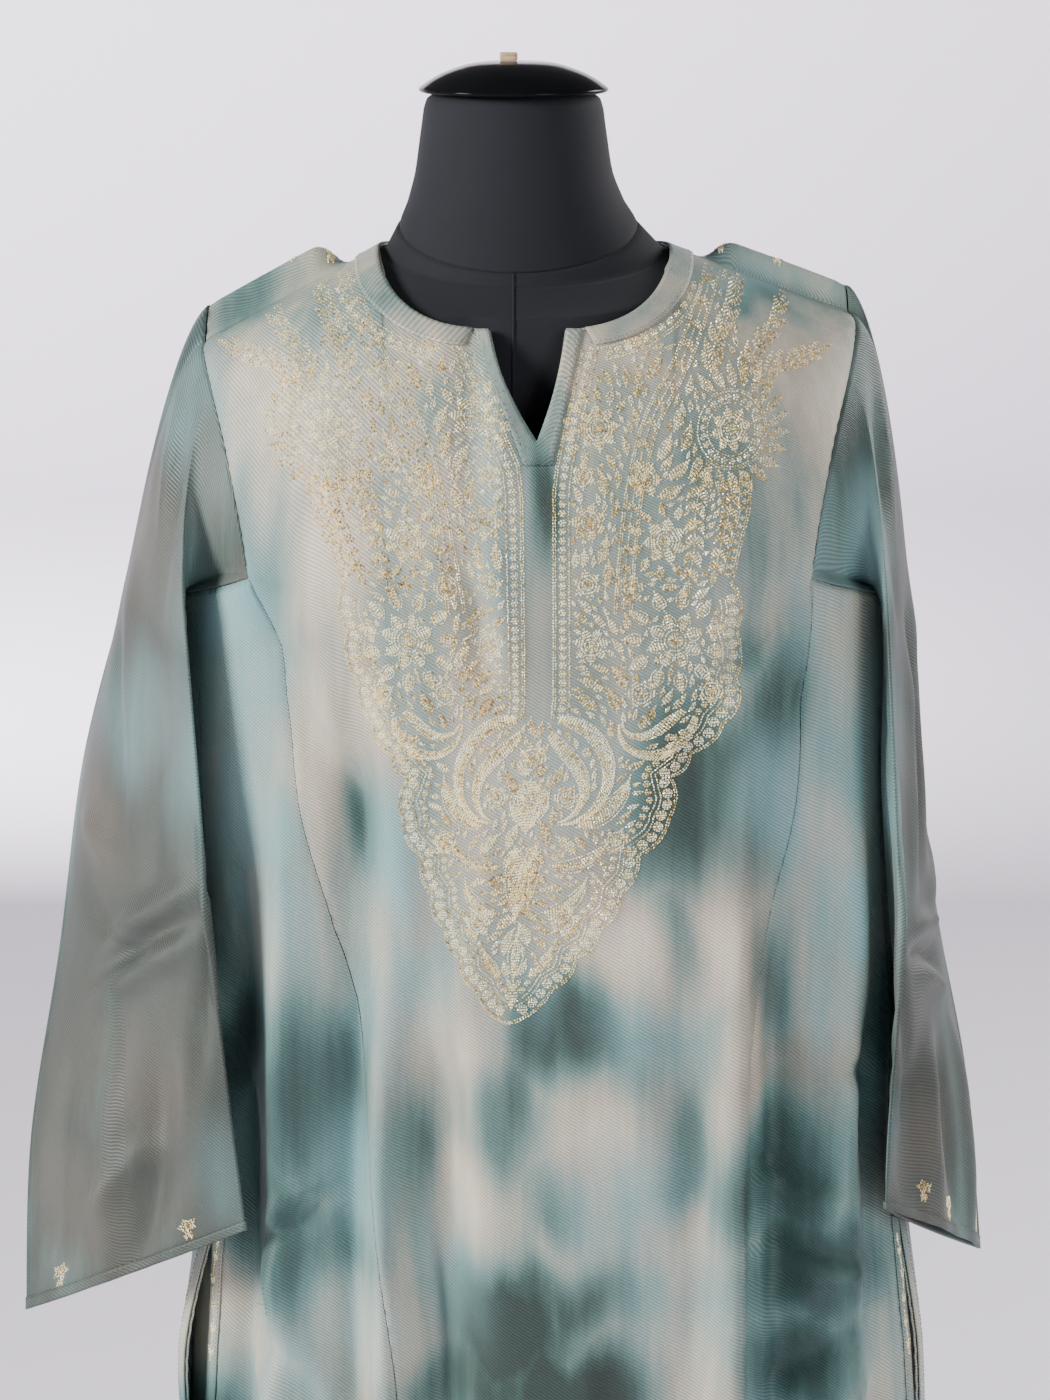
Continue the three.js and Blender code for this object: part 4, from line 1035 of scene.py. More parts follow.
# %% Form surfaces
def form_rings(z_left, z_right, left, right, front, back, tilt, power):
    """Oval rings whose halves differ, tipped down to the front by the tilt."""
    angle = np.arange(FORM_AROUND) / FORM_AROUND * 2 * math.pi
    cos, sin = np.cos(angle)[None], np.sin(angle)[None]
    columns = (z_left, z_right, left, right, front, back, tilt)
    z_left, z_right, left, right, front, back, tilt = [
        np.atleast_1d(np.asarray(column, float))[:, None] for column in columns]
    x = np.where(cos > 0, right, left) * signed_power(cos, 2 / power)
    y = np.where(sin > 0, back, front) * signed_power(sin, 2 / power)
    level = lerp(z_left, z_right, (x + left) / (left + right))
    return np.stack([x, y, level + tilt * y * np.where(y > 0, 0.2, 1)], axis=-1)


def rise_at_depth(x, depth, face):
    """The rise at which the cloth passes a depth, by halving."""
    low, high = np.zeros_like(x), np.ones_like(x)
    for _ in range(20):
        middle = (low + high) / 2
        outside = np.abs(yoke_points(x, middle, face)[..., 1]) > depth
        low = np.where(outside, middle, low)
        high = np.where(outside, high, middle)
    return low


def inside_cloth(points):
    """Draws points in, and down, to where the cloth leaves them room."""
    for face in ("front", "back"):
        x, y, z = points[..., 0], points[..., 1], points[..., 2]
        here = (y < 0) == (face == "front")
        rise = rise_at(x, z)
        past = np.maximum(0, rise - neck_rise_at(x, face))
        free = (z < CHEST_Z) | (past > 0.15) | ~here
        nearest = np.maximum(0, np.abs(yoke_points(x, rise, face)[..., 1]) - CLOTH - CLOTH_CLEARANCE)
        limit = nearest + past * OPEN_NECK_DEEP
        y = np.where(free | (rise >= 0.9), y, np.clip(y, -limit, limit))
        above = rise_at_depth(x, np.abs(y), face)
        under = (CLOTH + FORM_GAP) / np.sin(np.maximum(above, 0.1) * math.pi / 2)
        ceiling = yoke_points(x, above, face)[..., 2] - under + past * OPEN_NECK_HIGH
        z = np.where(free | (above < 0.75), z, np.minimum(z, ceiling))
        points = np.stack([x, y, z], axis=-1)
    return points


def torso_grid():
    """Body rings, shoulder rings that slope with the seam, and the neck's seat on top."""
    z = np.concatenate([[700, 701.5, 704], np.linspace(712, 1300, 75)])
    half, front, back = (read(FORM_RINGS, z, k) for k in (1, 2, 3))
    body = form_rings(z, z, half, half, front, back, np.zeros_like(z), 2.2)
    t = np.linspace(0, 1, 28)
    left, right, front, back, tilt = (lerp(*FORM_SHOULDER[:, k], t) for k in (1, 2, 3, 4, 5))
    z_left, z_right = (shoulder_z(x) - CLOTH - FORM_GAP for x in (-left, right))
    shoulder = form_rings(z_left, z_right, left, right, front, back, tilt, 2.0)
    covered = inside_cloth(np.concatenate([body, shoulder]))
    seat = form_rings(NECK_SEAT[0], NECK_SEAT[0], *NECK_SEAT[1:], 2.0)
    middle = lerp(covered[-1:], seat, np.array([0.25, 0.5, 0.75])[:, None, None])
    return np.concatenate([covered, middle, seat])


def neck_grid():
    """Rings up the neck, closer together at both ends, where it rounds over."""
    foot, top = [1410.3, 1411.2, 1412.6], [1486, 1487.6, 1488.8, 1489.4]
    z = np.concatenate([foot, np.linspace(1415, 1484, 34), top])
    left, right, front, back, tilt = (read(NECK_RINGS, z, k) for k in (1, 2, 3, 4, 5))
    return form_rings(z, z, left, right, front, back, tilt, 2.0)


def closed_rings(name, rings):
    """A solid through rings, closed at each end by a fan round the ring's own middle."""
    rows, around, _ = rings.shape
    faces, _ = quads(rows, around, True)
    low, high = rings[0].mean(axis=0), rings[-1].mean(axis=0)
    vertices = np.concatenate([rings.reshape(-1, 3), [low, high]])
    i = np.arange(around)
    k = (i + 1) % around
    first = np.full(around, rows * around)
    top = (rows - 1) * around
    fans = np.concatenate([np.stack([first, k, i], -1), np.stack([first + 1, top + i, top + k], -1)])
    return new_object(name, vertices, faces.tolist() + fans.tolist())


form_parts = {"form_torso": closed_rings("form_torso_cover", torso_grid()),
              "form_neck": closed_rings("form_neck_cover", neck_grid())}

# %% [markdown]
# ## Cap, peg and stand
# Turned parts are profiles of radius and height, swept round the middle. The cap's rim is
# rounded by small steps in its profile.

# %% Turned parts
CAP = [(0, 1489.8), (55.6, 1489.8), (56.6, 1490), (57.6, 1490.6), (58, 1491.4), (57.9, 1492.2), (57.2, 1493),
       (55.5, 1494.2), (53, 1496), (50, 1498), (44, 1501.2), (38, 1503.6), (31, 1505.9), (25, 1507.3),
       (16, 1508.3), (8, 1508.6), (0, 1508.6)]
POLE = [(0, 12.3), (15.6, 12.3), (16, 12.7), (16, 699.2), (15.6, 699.7), (0, 699.7)]
BASE = [(0, 0), (198.6, 0), (199.6, 0.4), (200, 1.2), (200, 8.6), (199.6, 9.8), (198.6, 10.9), (197, 11.7),
        (195, 12), (0, 12)]
COLLAR = [(16.3, 12.3), (31.6, 12.3), (32, 12.7), (32, 15.4), (31.2, 16.6), (28, 18.6), (26, 22), (24.6, 26),
          (23.4, 31), (22.4, 36), (22, 39.2), (21.4, 40), (16.3, 40)]


def swept_round(r, z, around):
    """x = r cos, y = r sin, and z from the profile, for every point of it."""
    angle = np.arange(around) / around * 2 * math.pi
    return np.stack([r[:, None] * np.cos(angle), r[:, None] * np.sin(angle),
                     np.broadcast_to(z[:, None], (len(r), around))], axis=-1)


def turned(name, profile, around):
    """A profile swept round. Where it ends on the middle line, its end becomes one pole."""
    r, z = np.array(profile, float).T
    rings = swept_round(r, z, around)
    if r[0] == 0:
        return closed_rings(name, rings[1:-1])
    loop = np.concatenate([rings, rings[:1]])
    faces, _ = quads(len(loop), around, True)
    faces = faces % (len(rings) * around)
    return new_object(name, rings.reshape(-1, 3), faces)


form_parts["form_cap"] = turned("form_cap_dome", CAP, 96)
form_parts["stand_pole"] = turned("stand_pole_tube", POLE, 48)
form_parts["stand_base"] = turned("stand_base_disc", BASE, 128)
form_parts["stand_collar"] = turned("stand_collar_ring", COLLAR, 64)

# %% The peg
PEG_PLACE = (-3, -4)
PEG_HALF = (5.5, 3.5)
PEG_LOW = 1508.9


def peg_grid():
    """Rounded-oblong rings that shrink at both ends, for worn edges."""
    steps = [(0, 0.86), (0.3, 0.96), (0.9, 1.0), (3.9, 1.0), (4.6, 0.96), (5.0, 0.84)]
    angle = np.arange(32) / 32 * 2 * math.pi
    rings = []
    for up, size in steps:
        x = PEG_PLACE[0] + PEG_HALF[0] * size * signed_power(np.cos(angle), 0.4)
        y = PEG_PLACE[1] + PEG_HALF[1] * size * signed_power(np.sin(angle), 0.4)
        rings.append(np.stack([x, y, np.full(32, PEG_LOW + up)], axis=-1))
    return np.array(rings)


form_parts["cap_peg"] = closed_rings("cap_peg_wood", peg_grid())
for node, piece in form_parts.items():
    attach(piece, "root")
    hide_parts(node)
    print(piece.name, len(piece.data.polygons), "faces")

# %% [markdown]
# ## The dye, and a few patches of painted shade and light
# The cloth was dyed in soft patches that ran a little way down the threads: deep green,
# pale blue, cream and a brownish grey. The patches are large and every one is different,
# so noise alone can't make them. They are listed one by one as soft ellipses and written
# to the mesh as one colour attribute, and the finish breaks up their edges with noise.
# Most patches are the cloth's own dye. A few narrow dark ones on the fold valleys are painted fold shade, and
# a few light and blue ones at the right side are painted light against its shade.

# %% Dye patches, a few of them painted shade and light
# Across, height, half width, half height, strength, all seen from the front.
DYE_AND_SHADE_FRONT = {
    # Most are dye; the narrow upright ones at -101, 898, -90, 1060 and -60, 850 lie on fold valleys and are
    # painted fold shade.
    "dark": [
        (28, 932, 36, 34, 0.95), (52, 905, 28, 26, 0.25), (106, 852, 15, 44, 0.7),
        (112, 1076, 40, 58, 0.85), (101, 994, 16, 34, 0.6), (-122, 878, 30, 68, 0.8),
        (-101, 898, 12, 40, 0.7), (-128, 793, 32, 32, 0.6), (-8, 741, 44, 36, 0.95), (28, 700, 56, 28, 0.9),
        (-40, 702, 32, 32, 0.6), (172, 833, 38, 44, 0.8), (190, 767, 44, 34, 0.75),
        (172, 702, 40, 34, 0.75), (154, 943, 14, 40, 0.5), (-6, 872, 26, 40, 0.5), (30, 822, 18, 26, 0.35),
        (166, 1136, 26, 40, 0.5), (16, 1254, 9, 34, 0.75), (124, 1240, 44, 60, 0.3),
        (166, 1376, 30, 12, 0.7), (-206, 1008, 30, 52, 0.85), (-254, 963, 28, 34, 0.85),
        (-194, 865, 20, 34, 0.7), (-206, 1160, 14, 40, 0.5), (-226, 1060, 20, 30, 0.4),
        (214, 1297, 16, 44, 0.4), (247, 1040, 18, 60, 0.7), (244, 924, 18, 50, 0.75),
        (232, 870, 14, 30, 0.5), (-150, 1200, 16, 30, 0.35), (-60, 850, 16, 50, 0.35),
        (-90, 1060, 10, 40, 0.45), (-152, 790, 24, 60, 0.9), (-140, 850, 16, 40, 0.7),
        (10, 760, 60, 22, 0.7), (-170, 900, 20, 30, 0.5), (130, 1150, 20, 40, 0.35),
    ],
    "blue": [
        (-180, 1190, 34, 40, 0.9), (-158, 1136, 26, 52, 0.6), (-164, 1060, 26, 40, 0.8),
        (-146, 993, 28, 34, 0.5), (-74, 1030, 16, 42, 1.0), (-68, 949, 26, 44, 0.55),
        (-92, 833, 22, 44, 0.6), (184, 1190, 22, 40, 0.5), (172, 1070, 32, 42, 0.85),
        (202, 1000, 26, 42, 1.0), (196, 936, 24, 34, 0.6), (82, 930, 34, 28, 0.55), (76, 820, 40, 40, 0.6),
        (-50, 773, 28, 40, 0.55), (-98, 735, 34, 34, 0.65), (-140, 700, 30, 30, 0.5),
        (106, 754, 34, 40, 0.55), (-230, 1110, 28, 40, 0.7), (-190, 1300, 22, 46, 0.65),
        (229, 1119, 14, 46, 0.7), (226, 858, 14, 36, 0.5), (-176, 838, 18, 34, 0.5),
        (30, 1090, 40, 40, 0.3), (0, 960, 24, 26, 0.35), (-130, 1340, 34, 16, 0.3),
        # The tall patch at 206, 1090 is painted light that lifts the right side's shade under the sleeve.
        (156, 1384, 40, 14, 0.7), (-10, 1240, 14, 60, 0.3), (206, 1090, 18, 70, 0.8),
        (-196, 1110, 18, 60, 0.7),
    ],
    "light": [
        (-146, 1305, 34, 44, 0.8), (-110, 1222, 26, 54, 0.85), (-116, 1111, 20, 54, 0.8),
        (-164, 985, 24, 40, 0.6), (-86, 1104, 20, 40, 0.75), (-62, 990, 18, 34, 0.45),
        (-38, 917, 28, 54, 0.8), (76, 976, 42, 38, 1.0), (124, 984, 28, 40, 0.85), (58, 872, 28, 40, 0.8),
        (136, 898, 20, 56, 0.85), (106, 796, 26, 28, 0.55), (28, 776, 22, 24, 0.4),
        (-26, 822, 28, 34, 0.55), (204, 1288, 22, 60, 0.9), (190, 1226, 20, 34, 0.5),
        (-74, 735, 24, 30, 0.6), (-170, 730, 24, 34, 0.6), (112, 706, 28, 28, 0.5),
        (-206, 924, 20, 26, 0.35), (-272, 752, 24, 24, 0.5), (220, 1207, 14, 34, 0.5),
        (70, 1340, 40, 20, 0.4), (-60, 1340, 30, 20, 0.5), (0, 1160, 30, 40, 0.3),
        # The patches at 202, 1150 and 196, 1030 are painted light that lifts the right side's shade under the
        # sleeve.
        (-200, 1240, 18, 26, 0.35), (202, 1150, 20, 44, 0.8), (196, 1030, 16, 40, 0.7),
        (-66, 1250, 52, 90, 0.22), (84, 1230, 50, 100, 0.3), (6, 1080, 62, 60, 0.3),
        (86, 872, 40, 44, 0.65),
    ],
    "brown": [
        (-62, 1014, 9, 44, 0.5), (148, 949, 12, 40, 0.55), (172, 898, 32, 20, 0.6),
        (136, 1024, 16, 28, 0.5), (20, 1180, 50, 60, 0.3), (-218, 1214, 24, 50, 0.8),
        (-206, 1110, 18, 40, 0.5), (-262, 1040, 22, 40, 0.75), (-246, 878, 40, 42, 0.75),
        (-272, 800, 30, 36, 0.7), (-194, 798, 22, 26, 0.5), (250, 838, 26, 28, 0.9),
        (236, 1080, 8, 40, 0.5), (256, 790, 20, 24, 0.6), (222, 960, 8, 50, 0.4), (-230, 1290, 16, 40, 0.5),
        (-186, 1016, 10, 60, 0.35), (60, 1040, 30, 30, 0.25),
    ],
}
HIDDEN_SEED = 11


def hidden_patches(count, low, high, seed):
    """Random patches for the back and the lower part, from a seed of their own."""
    rng = np.random.default_rng(seed)
    lists = {}
    for kind in DYE_AND_SHADE_FRONT:
        x, z = rng.uniform(-290, 290, count), rng.uniform(low, high, count)
        wide, tall = rng.uniform(14, 42, count), rng.uniform(28, 62, count)
        lists[kind] = list(zip(x, z, wide, tall, rng.uniform(0.45, 0.95, count)))
    return lists


DYE_LOW = hidden_patches(16, 340, 650, HIDDEN_SEED)
DYE_BACK = hidden_patches(44, 340, 1400, HIDDEN_SEED + 1)


def patch_strength(x, z, patches):
    """The strongest patch at a place: strength x bell(distance in half widths and heights).
    The place is first pushed about by slow sines, which draws the patches out into runs."""
    best = np.zeros_like(x)
    sideways = 6 * np.sin(z / 41 + 1.3 * np.sin(x / 53)) + 3 * np.sin(z / 19 + x / 23)
    upwards = 5 * np.sin(x / 11 + 2.1 * np.sin(x / 31) + z / 83)
    upwards = upwards + 3 * np.sin(x / 5.1 + 1.7 * np.sin(x / 17 + z / 59))
    x, z = x + sideways, z + upwards
    for px, pz, wide, tall, strength in patches:
        best = np.maximum(best, strength * bell(np.hypot((x - px) / wide, (z - pz) / tall) ** 1.5 * 0.9))
    return best


def facing_front(y):
    """1 in front, 0 behind, and a soft step between at the sides."""
    return 1 - smoothstep(y, -30, 20)


def paint_dye_and_shade(piece, base, front_share=None):
    """Writes the four patch strengths as one colour attribute, a value for each vertex.
    The base is what the whole piece has before its patches: it is the least of each.
    The front share says how much of the front's patches each vertex has."""
    count = len(piece.data.vertices)
    at = np.empty(count * 3, np.float32)
    piece.data.vertices.foreach_get("co", at)
    x, y, z = at.reshape(-1, 3).T / MM
    share = facing_front(y) if front_share is None else np.resize(front_share, count)
    marks = np.empty((count, 4), np.float32)
    for k, kind in enumerate(("dark", "blue", "light", "brown")):
        front = patch_strength(x, z, DYE_AND_SHADE_FRONT[kind] + DYE_LOW[kind])
        least = base[k] * lerp(0.5, 1, share)
        marks[:, k] = lerp(patch_strength(x, z, DYE_BACK[kind]), front, share) * (1 - least) + least
    layer = piece.data.color_attributes.new("dye_and_shade", "FLOAT_COLOR", "POINT")
    layer.data.foreach_set("color", marks.reshape(-1))

# %% Paint the dye and the painted shade and light
# What a whole piece has of dark, blue, light and brown before its patches.
# The left sleeve's larger dark share is painted shade: it darkens the sleeve that the key light from the left
# brightens.
SLEEVE_BASE = {"left": (0.92, 0.0, 0.0, 0.42), "right": (0.72, 0.0, 0.0, 0.42)}
SIDE_BASE = (0.04, 0.1, 0.1, 0.0)
MIDDLE_BASE = (0.0, 0.0, 0.08, 0.1)


def base_of(name):
    """The base by the kind of piece."""
    if "sleeve" in name or "cuff" in name:
        return SLEEVE_BASE[name.rsplit("_", 1)[1]]
    return SIDE_BASE if "side" in name or "pocket" in name else MIDDLE_BASE


# A sleeve shows its outer half in front, whichever way that half faces.
OUTER_HALF = smoothstep(np.abs(SLEEVE_TURNS - np.floor(SLEEVE_TURNS + 0.5)), 0.3, 0.38)
for name, piece in panels.items():
    share = np.tile(OUTER_HALF, len(SLEEVE_VS)) if "sleeve" in name else None
    paint_dye_and_shade(piece, base_of(name), share)
for name, piece in strips.items():
    share = np.tile(OUTER_HALF, int((SLEEVE_VS >= CUFF_V).sum())) if "cuff" in name else None
    paint_dye_and_shade(piece, base_of(name), share)
print(len(panels) + len(strips), "pieces dyed")

# %% [markdown]
# ## Finishes
# A finish is a small network of nodes. `node` adds one and wires it in a single line: an
# input is given either a plain value or another node's output.

# %% Helper for nodes
def start_finish(name):
    """A new material, its node tree and its one shader."""
    finish = bpy.data.materials.new(name)
    finish.use_nodes = True
    shader = finish.node_tree.nodes["Principled BSDF"]
    return finish, finish.node_tree, shader


def node(tree, kind, inputs=None, **settings):
    """A new node: settings are its own properties, inputs its sockets by name or number."""
    made = tree.nodes.new("ShaderNode" + kind)
    for key, value in settings.items():
        setattr(made, key, value)
    for key, value in (inputs or {}).items():
        if isinstance(value, bpy.types.NodeSocket):
            tree.links.new(value, made.inputs[key])
        else:
            made.inputs[key].default_value = value
    return made


def math_node(tree, operation, a, b=0.0, c=0.0, clamp=False):
    """One sum on two or three values, which are numbers or sockets."""
    return node(tree, "Math", {0: a, 1: b, 2: c}, operation=operation, use_clamp=clamp).outputs[0]


def mix_colour(tree, factor, a, b):
    """Colour a at factor 0 and colour b at factor 1."""
    made = node(tree, "Mix", data_type="RGBA")
    for socket, value in ((made.inputs[0], factor), (made.inputs[6], a), (made.inputs[7], b)):
        if isinstance(value, bpy.types.NodeSocket):
            tree.links.new(value, socket)
        else:
            socket.default_value = value
    return made.outputs[2]


def ramp(tree, factor, stops):
    """A band of colours, from a list of places and colours."""
    made = node(tree, "ValToRGB", {0: factor})
    band = made.color_ramp
    while len(band.elements) < len(stops):
        band.elements.new(0.5)
    for element, (place, colour) in zip(band.elements, stops):
        element.position = place
        element.color = colour
    return made.outputs[0]


def srgb(red, green, blue):
    """A screen colour of 0 to 255 as linear light."""
    c = np.array([red, green, blue]) / 255
    linear = np.where(c <= 0.04045, c / 12.92, ((c + 0.055) / 1.055) ** 2.4)
    return (*[float(x) for x in linear], 1.0)


def noise(tree, vector, scale, detail=2.0, roughness=0.5):
    """Clouds from 0 to 1, about 0.5 on the whole."""
    inputs = {"Vector": vector, "Scale": scale, "Detail": detail, "Roughness": roughness}
    return node(tree, "TexNoise", inputs).outputs[0]


def stretched(tree, vector, x, y, z):
    """A place counted in steps of its own along each axis: more steps, finer noise."""
    return node(tree, "Mapping", {"Vector": vector, "Scale": (x, y, z)}).outputs[0]


def add_bump(tree, shader, height, strength, distance):
    """Relief too fine to model, drawn into the shading."""
    bump = node(tree, "Bump", {"Height": height, "Strength": strength, "Distance": distance})
    tree.links.new(bump.outputs[0], shader.inputs["Normal"])


def set_sockets(shader, values):
    """Values that are the same all over, each set on the shader's own socket."""
    for name, value in values.items():
        shader.inputs[name].default_value = value

# %% [markdown]
# ### Dyed twill
# Twill has fine slanting ribs, here about two millimetres apart, drawn along the
# cloth's own map. The dye is a band of colours from cream to deep green: the patches move
# the place on the band, and long upright noise moves it a little more, as running dye does.

# %% The twill finish
TWILL_PITCH = 0.0019
TWILL_ANGLE = math.radians(-58)
RIB_SCALE = 2 * math.pi / 20 / TWILL_PITCH


def make_twill():
    """Dye, ribs and slubs: a band of colours, shaded and raised by the weave."""
    finish, tree, shader = start_finish("dyed_twill")
    place = node(tree, "TexCoord").outputs["Object"]
    cloth = node(tree, "UVMap", uv_map="cloth").outputs[0]
    dye_and_shade = node(tree, "Attribute", attribute_name="dye_and_shade")
    parts = node(tree, "SeparateColor", {0: dye_and_shade.outputs["Color"]})
    dark, blue, light = (parts.outputs[k] for k in range(3))
    brown = dye_and_shade.outputs["Alpha"]
    runs = noise(tree, stretched(tree, place, 46, 46, 5), 1.0, 4.0, 0.6)
    clouds = noise(tree, stretched(tree, place, 11, 11, 6), 1.0, 2.0, 0.5)
    tone = math_node(tree, "MULTIPLY_ADD", dark, 0.74, 0.42)
    tone = math_node(tree, "SUBTRACT", tone, math_node(tree, "MULTIPLY", light, 0.42))
    for streaks in (runs, clouds):
        centred = math_node(tree, "SUBTRACT", streaks, 0.5)
        tone = math_node(tree, "ADD", tone, math_node(tree, "MULTIPLY", centred, 0.75))
    colour = ramp(tree, tone, [
        (0.0, srgb(212, 204, 184)),
        (0.2, srgb(188, 182, 164)),
        (0.42, srgb(142, 158, 149)),
        (0.64, srgb(92, 124, 119)),
        (0.86, srgb(54, 82, 77)),
        (1.0, srgb(40, 60, 56)),
    ])
    blue_share = math_node(tree, "MULTIPLY", blue, math_node(tree, "ADD", runs, 0.25), clamp=True)
    colour = mix_colour(tree, blue_share, colour, srgb(130, 176, 180))
    brown_share = math_node(tree, "MULTIPLY", brown, math_node(tree, "ADD", clouds, 0.25), clamp=True)
    colour = mix_colour(tree, brown_share, colour, srgb(106, 99, 90))
    turned_map = node(tree, "Mapping", {"Vector": cloth, "Rotation": (0, 0, TWILL_ANGLE)}).outputs[0]
    wave = {"Scale": RIB_SCALE, "Distortion": 0.6, "Detail": 1.0, "Detail Scale": 2.0}
    ribs = node(tree, "TexWave", {"Vector": turned_map, **wave}).outputs[1]
    slubs = noise(tree, stretched(tree, cloth, 900, 160, 1), 1.0, 2.0, 0.6)
    shade = math_node(tree, "MULTIPLY_ADD", ribs, 0.38, 0.6)
    uneven = math_node(tree, "ADD", math_node(tree, "MULTIPLY", slubs, 0.16), 0.92)
    shade = math_node(tree, "MULTIPLY", shade, uneven)
    shaded = node(tree, "VectorMath", {0: colour, "Scale": shade}, operation="SCALE").outputs[0]
    tree.links.new(shaded, shader.inputs["Base Color"])
    raised = math_node(tree, "MULTIPLY", ribs, 0.7)
    height = math_node(tree, "ADD", raised, math_node(tree, "MULTIPLY", slubs, 0.5))
    add_bump(tree, shader, height, 0.6, 0.0005)
    set_sockets(shader, {"Roughness": 0.5, "Specular IOR Level": 0.25})
    set_sockets(shader, {"Sheen Weight": 0.07, "Sheen Roughness": 0.35, "Sheen Tint": (0.85, 0.9, 0.9, 1)})
    return finish


def give(piece, finish):
    """Puts a finish on a piece."""
    piece.data.materials.append(finish)


TWILL = make_twill()
for piece in panels.values():
    give(piece, TWILL)
for node_name, piece in strips.items():
    give(piece, TWILL)
print("twill on", len(panels), "panels and", len(strips), "strips")

# %% [markdown]
# ### The form's cover, cap, peg and stand
# The form is covered in matt black cotton, which scatters light at grazing angles and
# shows a little dust. Its cap is glossy black plastic, the peg raw wood, the stand painted
# steel with a faintly uneven gloss.

# %% Form finishes
def make_cover():
    """Two near blacks in soft clouds, under a fine weave that catches a little light."""
    finish, tree, shader = start_finish("black_cotton")
    place = node(tree, "TexCoord").outputs["Object"]
    weave = noise(tree, stretched(tree, place, 1400, 1400, 1400), 1.0, 2.0, 0.6)
    dust = noise(tree, stretched(tree, place, 22, 22, 14), 1.0, 4.0, 0.6)
    colour = mix_colour(tree, dust, srgb(11, 13, 16), srgb(20, 23, 28))
    colour = mix_colour(tree, math_node(tree, "MULTIPLY", weave, 0.3), colour, srgb(38, 41, 48))
    tree.links.new(colour, shader.inputs["Base Color"])
    add_bump(tree, shader, weave, 0.3, 0.0003)
    set_sockets(shader, {"Roughness": 0.85, "Specular IOR Level": 0.25, "Sheen Weight": 0.05})
    return finish


def make_gloss(name, low, high, roughness, metallic=0.0, specular=0.5, ior=1.45):
    """A smooth paint or plastic: two near colours in clouds, and gloss that varies a little."""
    finish, tree, shader = start_finish(name)
    place = node(tree, "TexCoord").outputs["Object"]
    clouds = noise(tree, place, 30.0, 4.0, 0.6)
    tree.links.new(mix_colour(tree, clouds, low, high), shader.inputs["Base Color"])
    rough = math_node(tree, "ADD", math_node(tree, "MULTIPLY", clouds, 0.12), roughness)
    tree.links.new(rough, shader.inputs["Roughness"])
    set_sockets(shader, {"Metallic": metallic, "Specular IOR Level": specular, "IOR": ior})
    return finish


def make_wood():
    """Grain that is fine across and long along the peg."""
    finish, tree, shader = start_finish("raw_peg_wood")
    place = node(tree, "TexCoord").outputs["Object"]
    grain = noise(tree, stretched(tree, place, 120, 900, 900), 1.0, 3.0, 0.6)
    colour = ramp(tree, grain, [(0.3, srgb(150, 122, 88)), (0.7, srgb(206, 180, 140))])
    tree.links.new(colour, shader.inputs["Base Color"])
    add_bump(tree, shader, grain, 0.4, 0.0003)
    set_sockets(shader, {"Roughness": 0.7})
    return finish


COVER = make_cover()
GLOSS = make_gloss("cap_gloss", srgb(10, 11, 13), srgb(16, 17, 20), 0.08, 0.0, 0.12, 1.3)
STEEL = make_gloss("stand_paint", srgb(34, 35, 38), srgb(44, 45, 48), 0.34, 0.5)
WOOD = make_wood()
FORM_LOOK = {
    "form_torso": (COVER, "form_cover"),
    "form_neck": (COVER, "form_cover"),
    "form_cap": (GLOSS, "form_cap"),
    "cap_peg": (WOOD, "peg_wood"),
    "stand_pole": (STEEL, "stand_metal"),
    "stand_base": (STEEL, "stand_metal"),
    "stand_collar": (STEEL, "stand_metal"),
}
for node_name, (finish, slot) in FORM_LOOK.items():
    give(form_parts[node_name], finish)
print(len(FORM_LOOK), "parts of the form and its stand have their finish")

# %% [markdown]
# ## The gold embroidery
# The yoke is worked in metal thread: chain lines, dots, leaves, flowers and paisleys laid
# close together, in the style of Kashmiri work, in an arrangement of its own. Flat gold
# patches would look painted. So every stitch is a small raised grain with its own direction
# and tone, and a motif is a list of places where grains go.

# %% Stitches on the front
STITCH_LONG = 2.15
STITCH_WIDE = 1.15
STITCH_HIGH = 0.62
STITCH_SUNK = 0.15
ROW_APART = 1.05
STEP = 1.75
AXIS_X = 15
AXIS_TURNS_Z = 1140
AXIS_LEAN = 0.085
rng = np.random.default_rng(5)


def axis_x(z):
    """The yoke's middle line: upright beside the strip, then leaning to the tip."""
    return AXIS_X - AXIS_LEAN * np.maximum(0, AXIS_TURNS_Z - z)


def front_points(x, z):
    """The front's surface over a place in the front view."""
    high = yoke_points(x, rise_at(x, z), "front")
    low_z = np.minimum(z, CHEST_Z)
    low = body_points(angle_at(x, low_z, "front"), low_z)
    return np.where((z > CHEST_Z)[..., None], high, low)


def front_frame(x, z, surface=front_points, step=0.5):
    """A place, the steps across and up from it, and the way out."""
    here = surface(x, z)
    across, up = surface(x + step, z) - here, surface(x, z + step) - here
    return here, unit(across), unit(up), unit(np.cross(across, up))


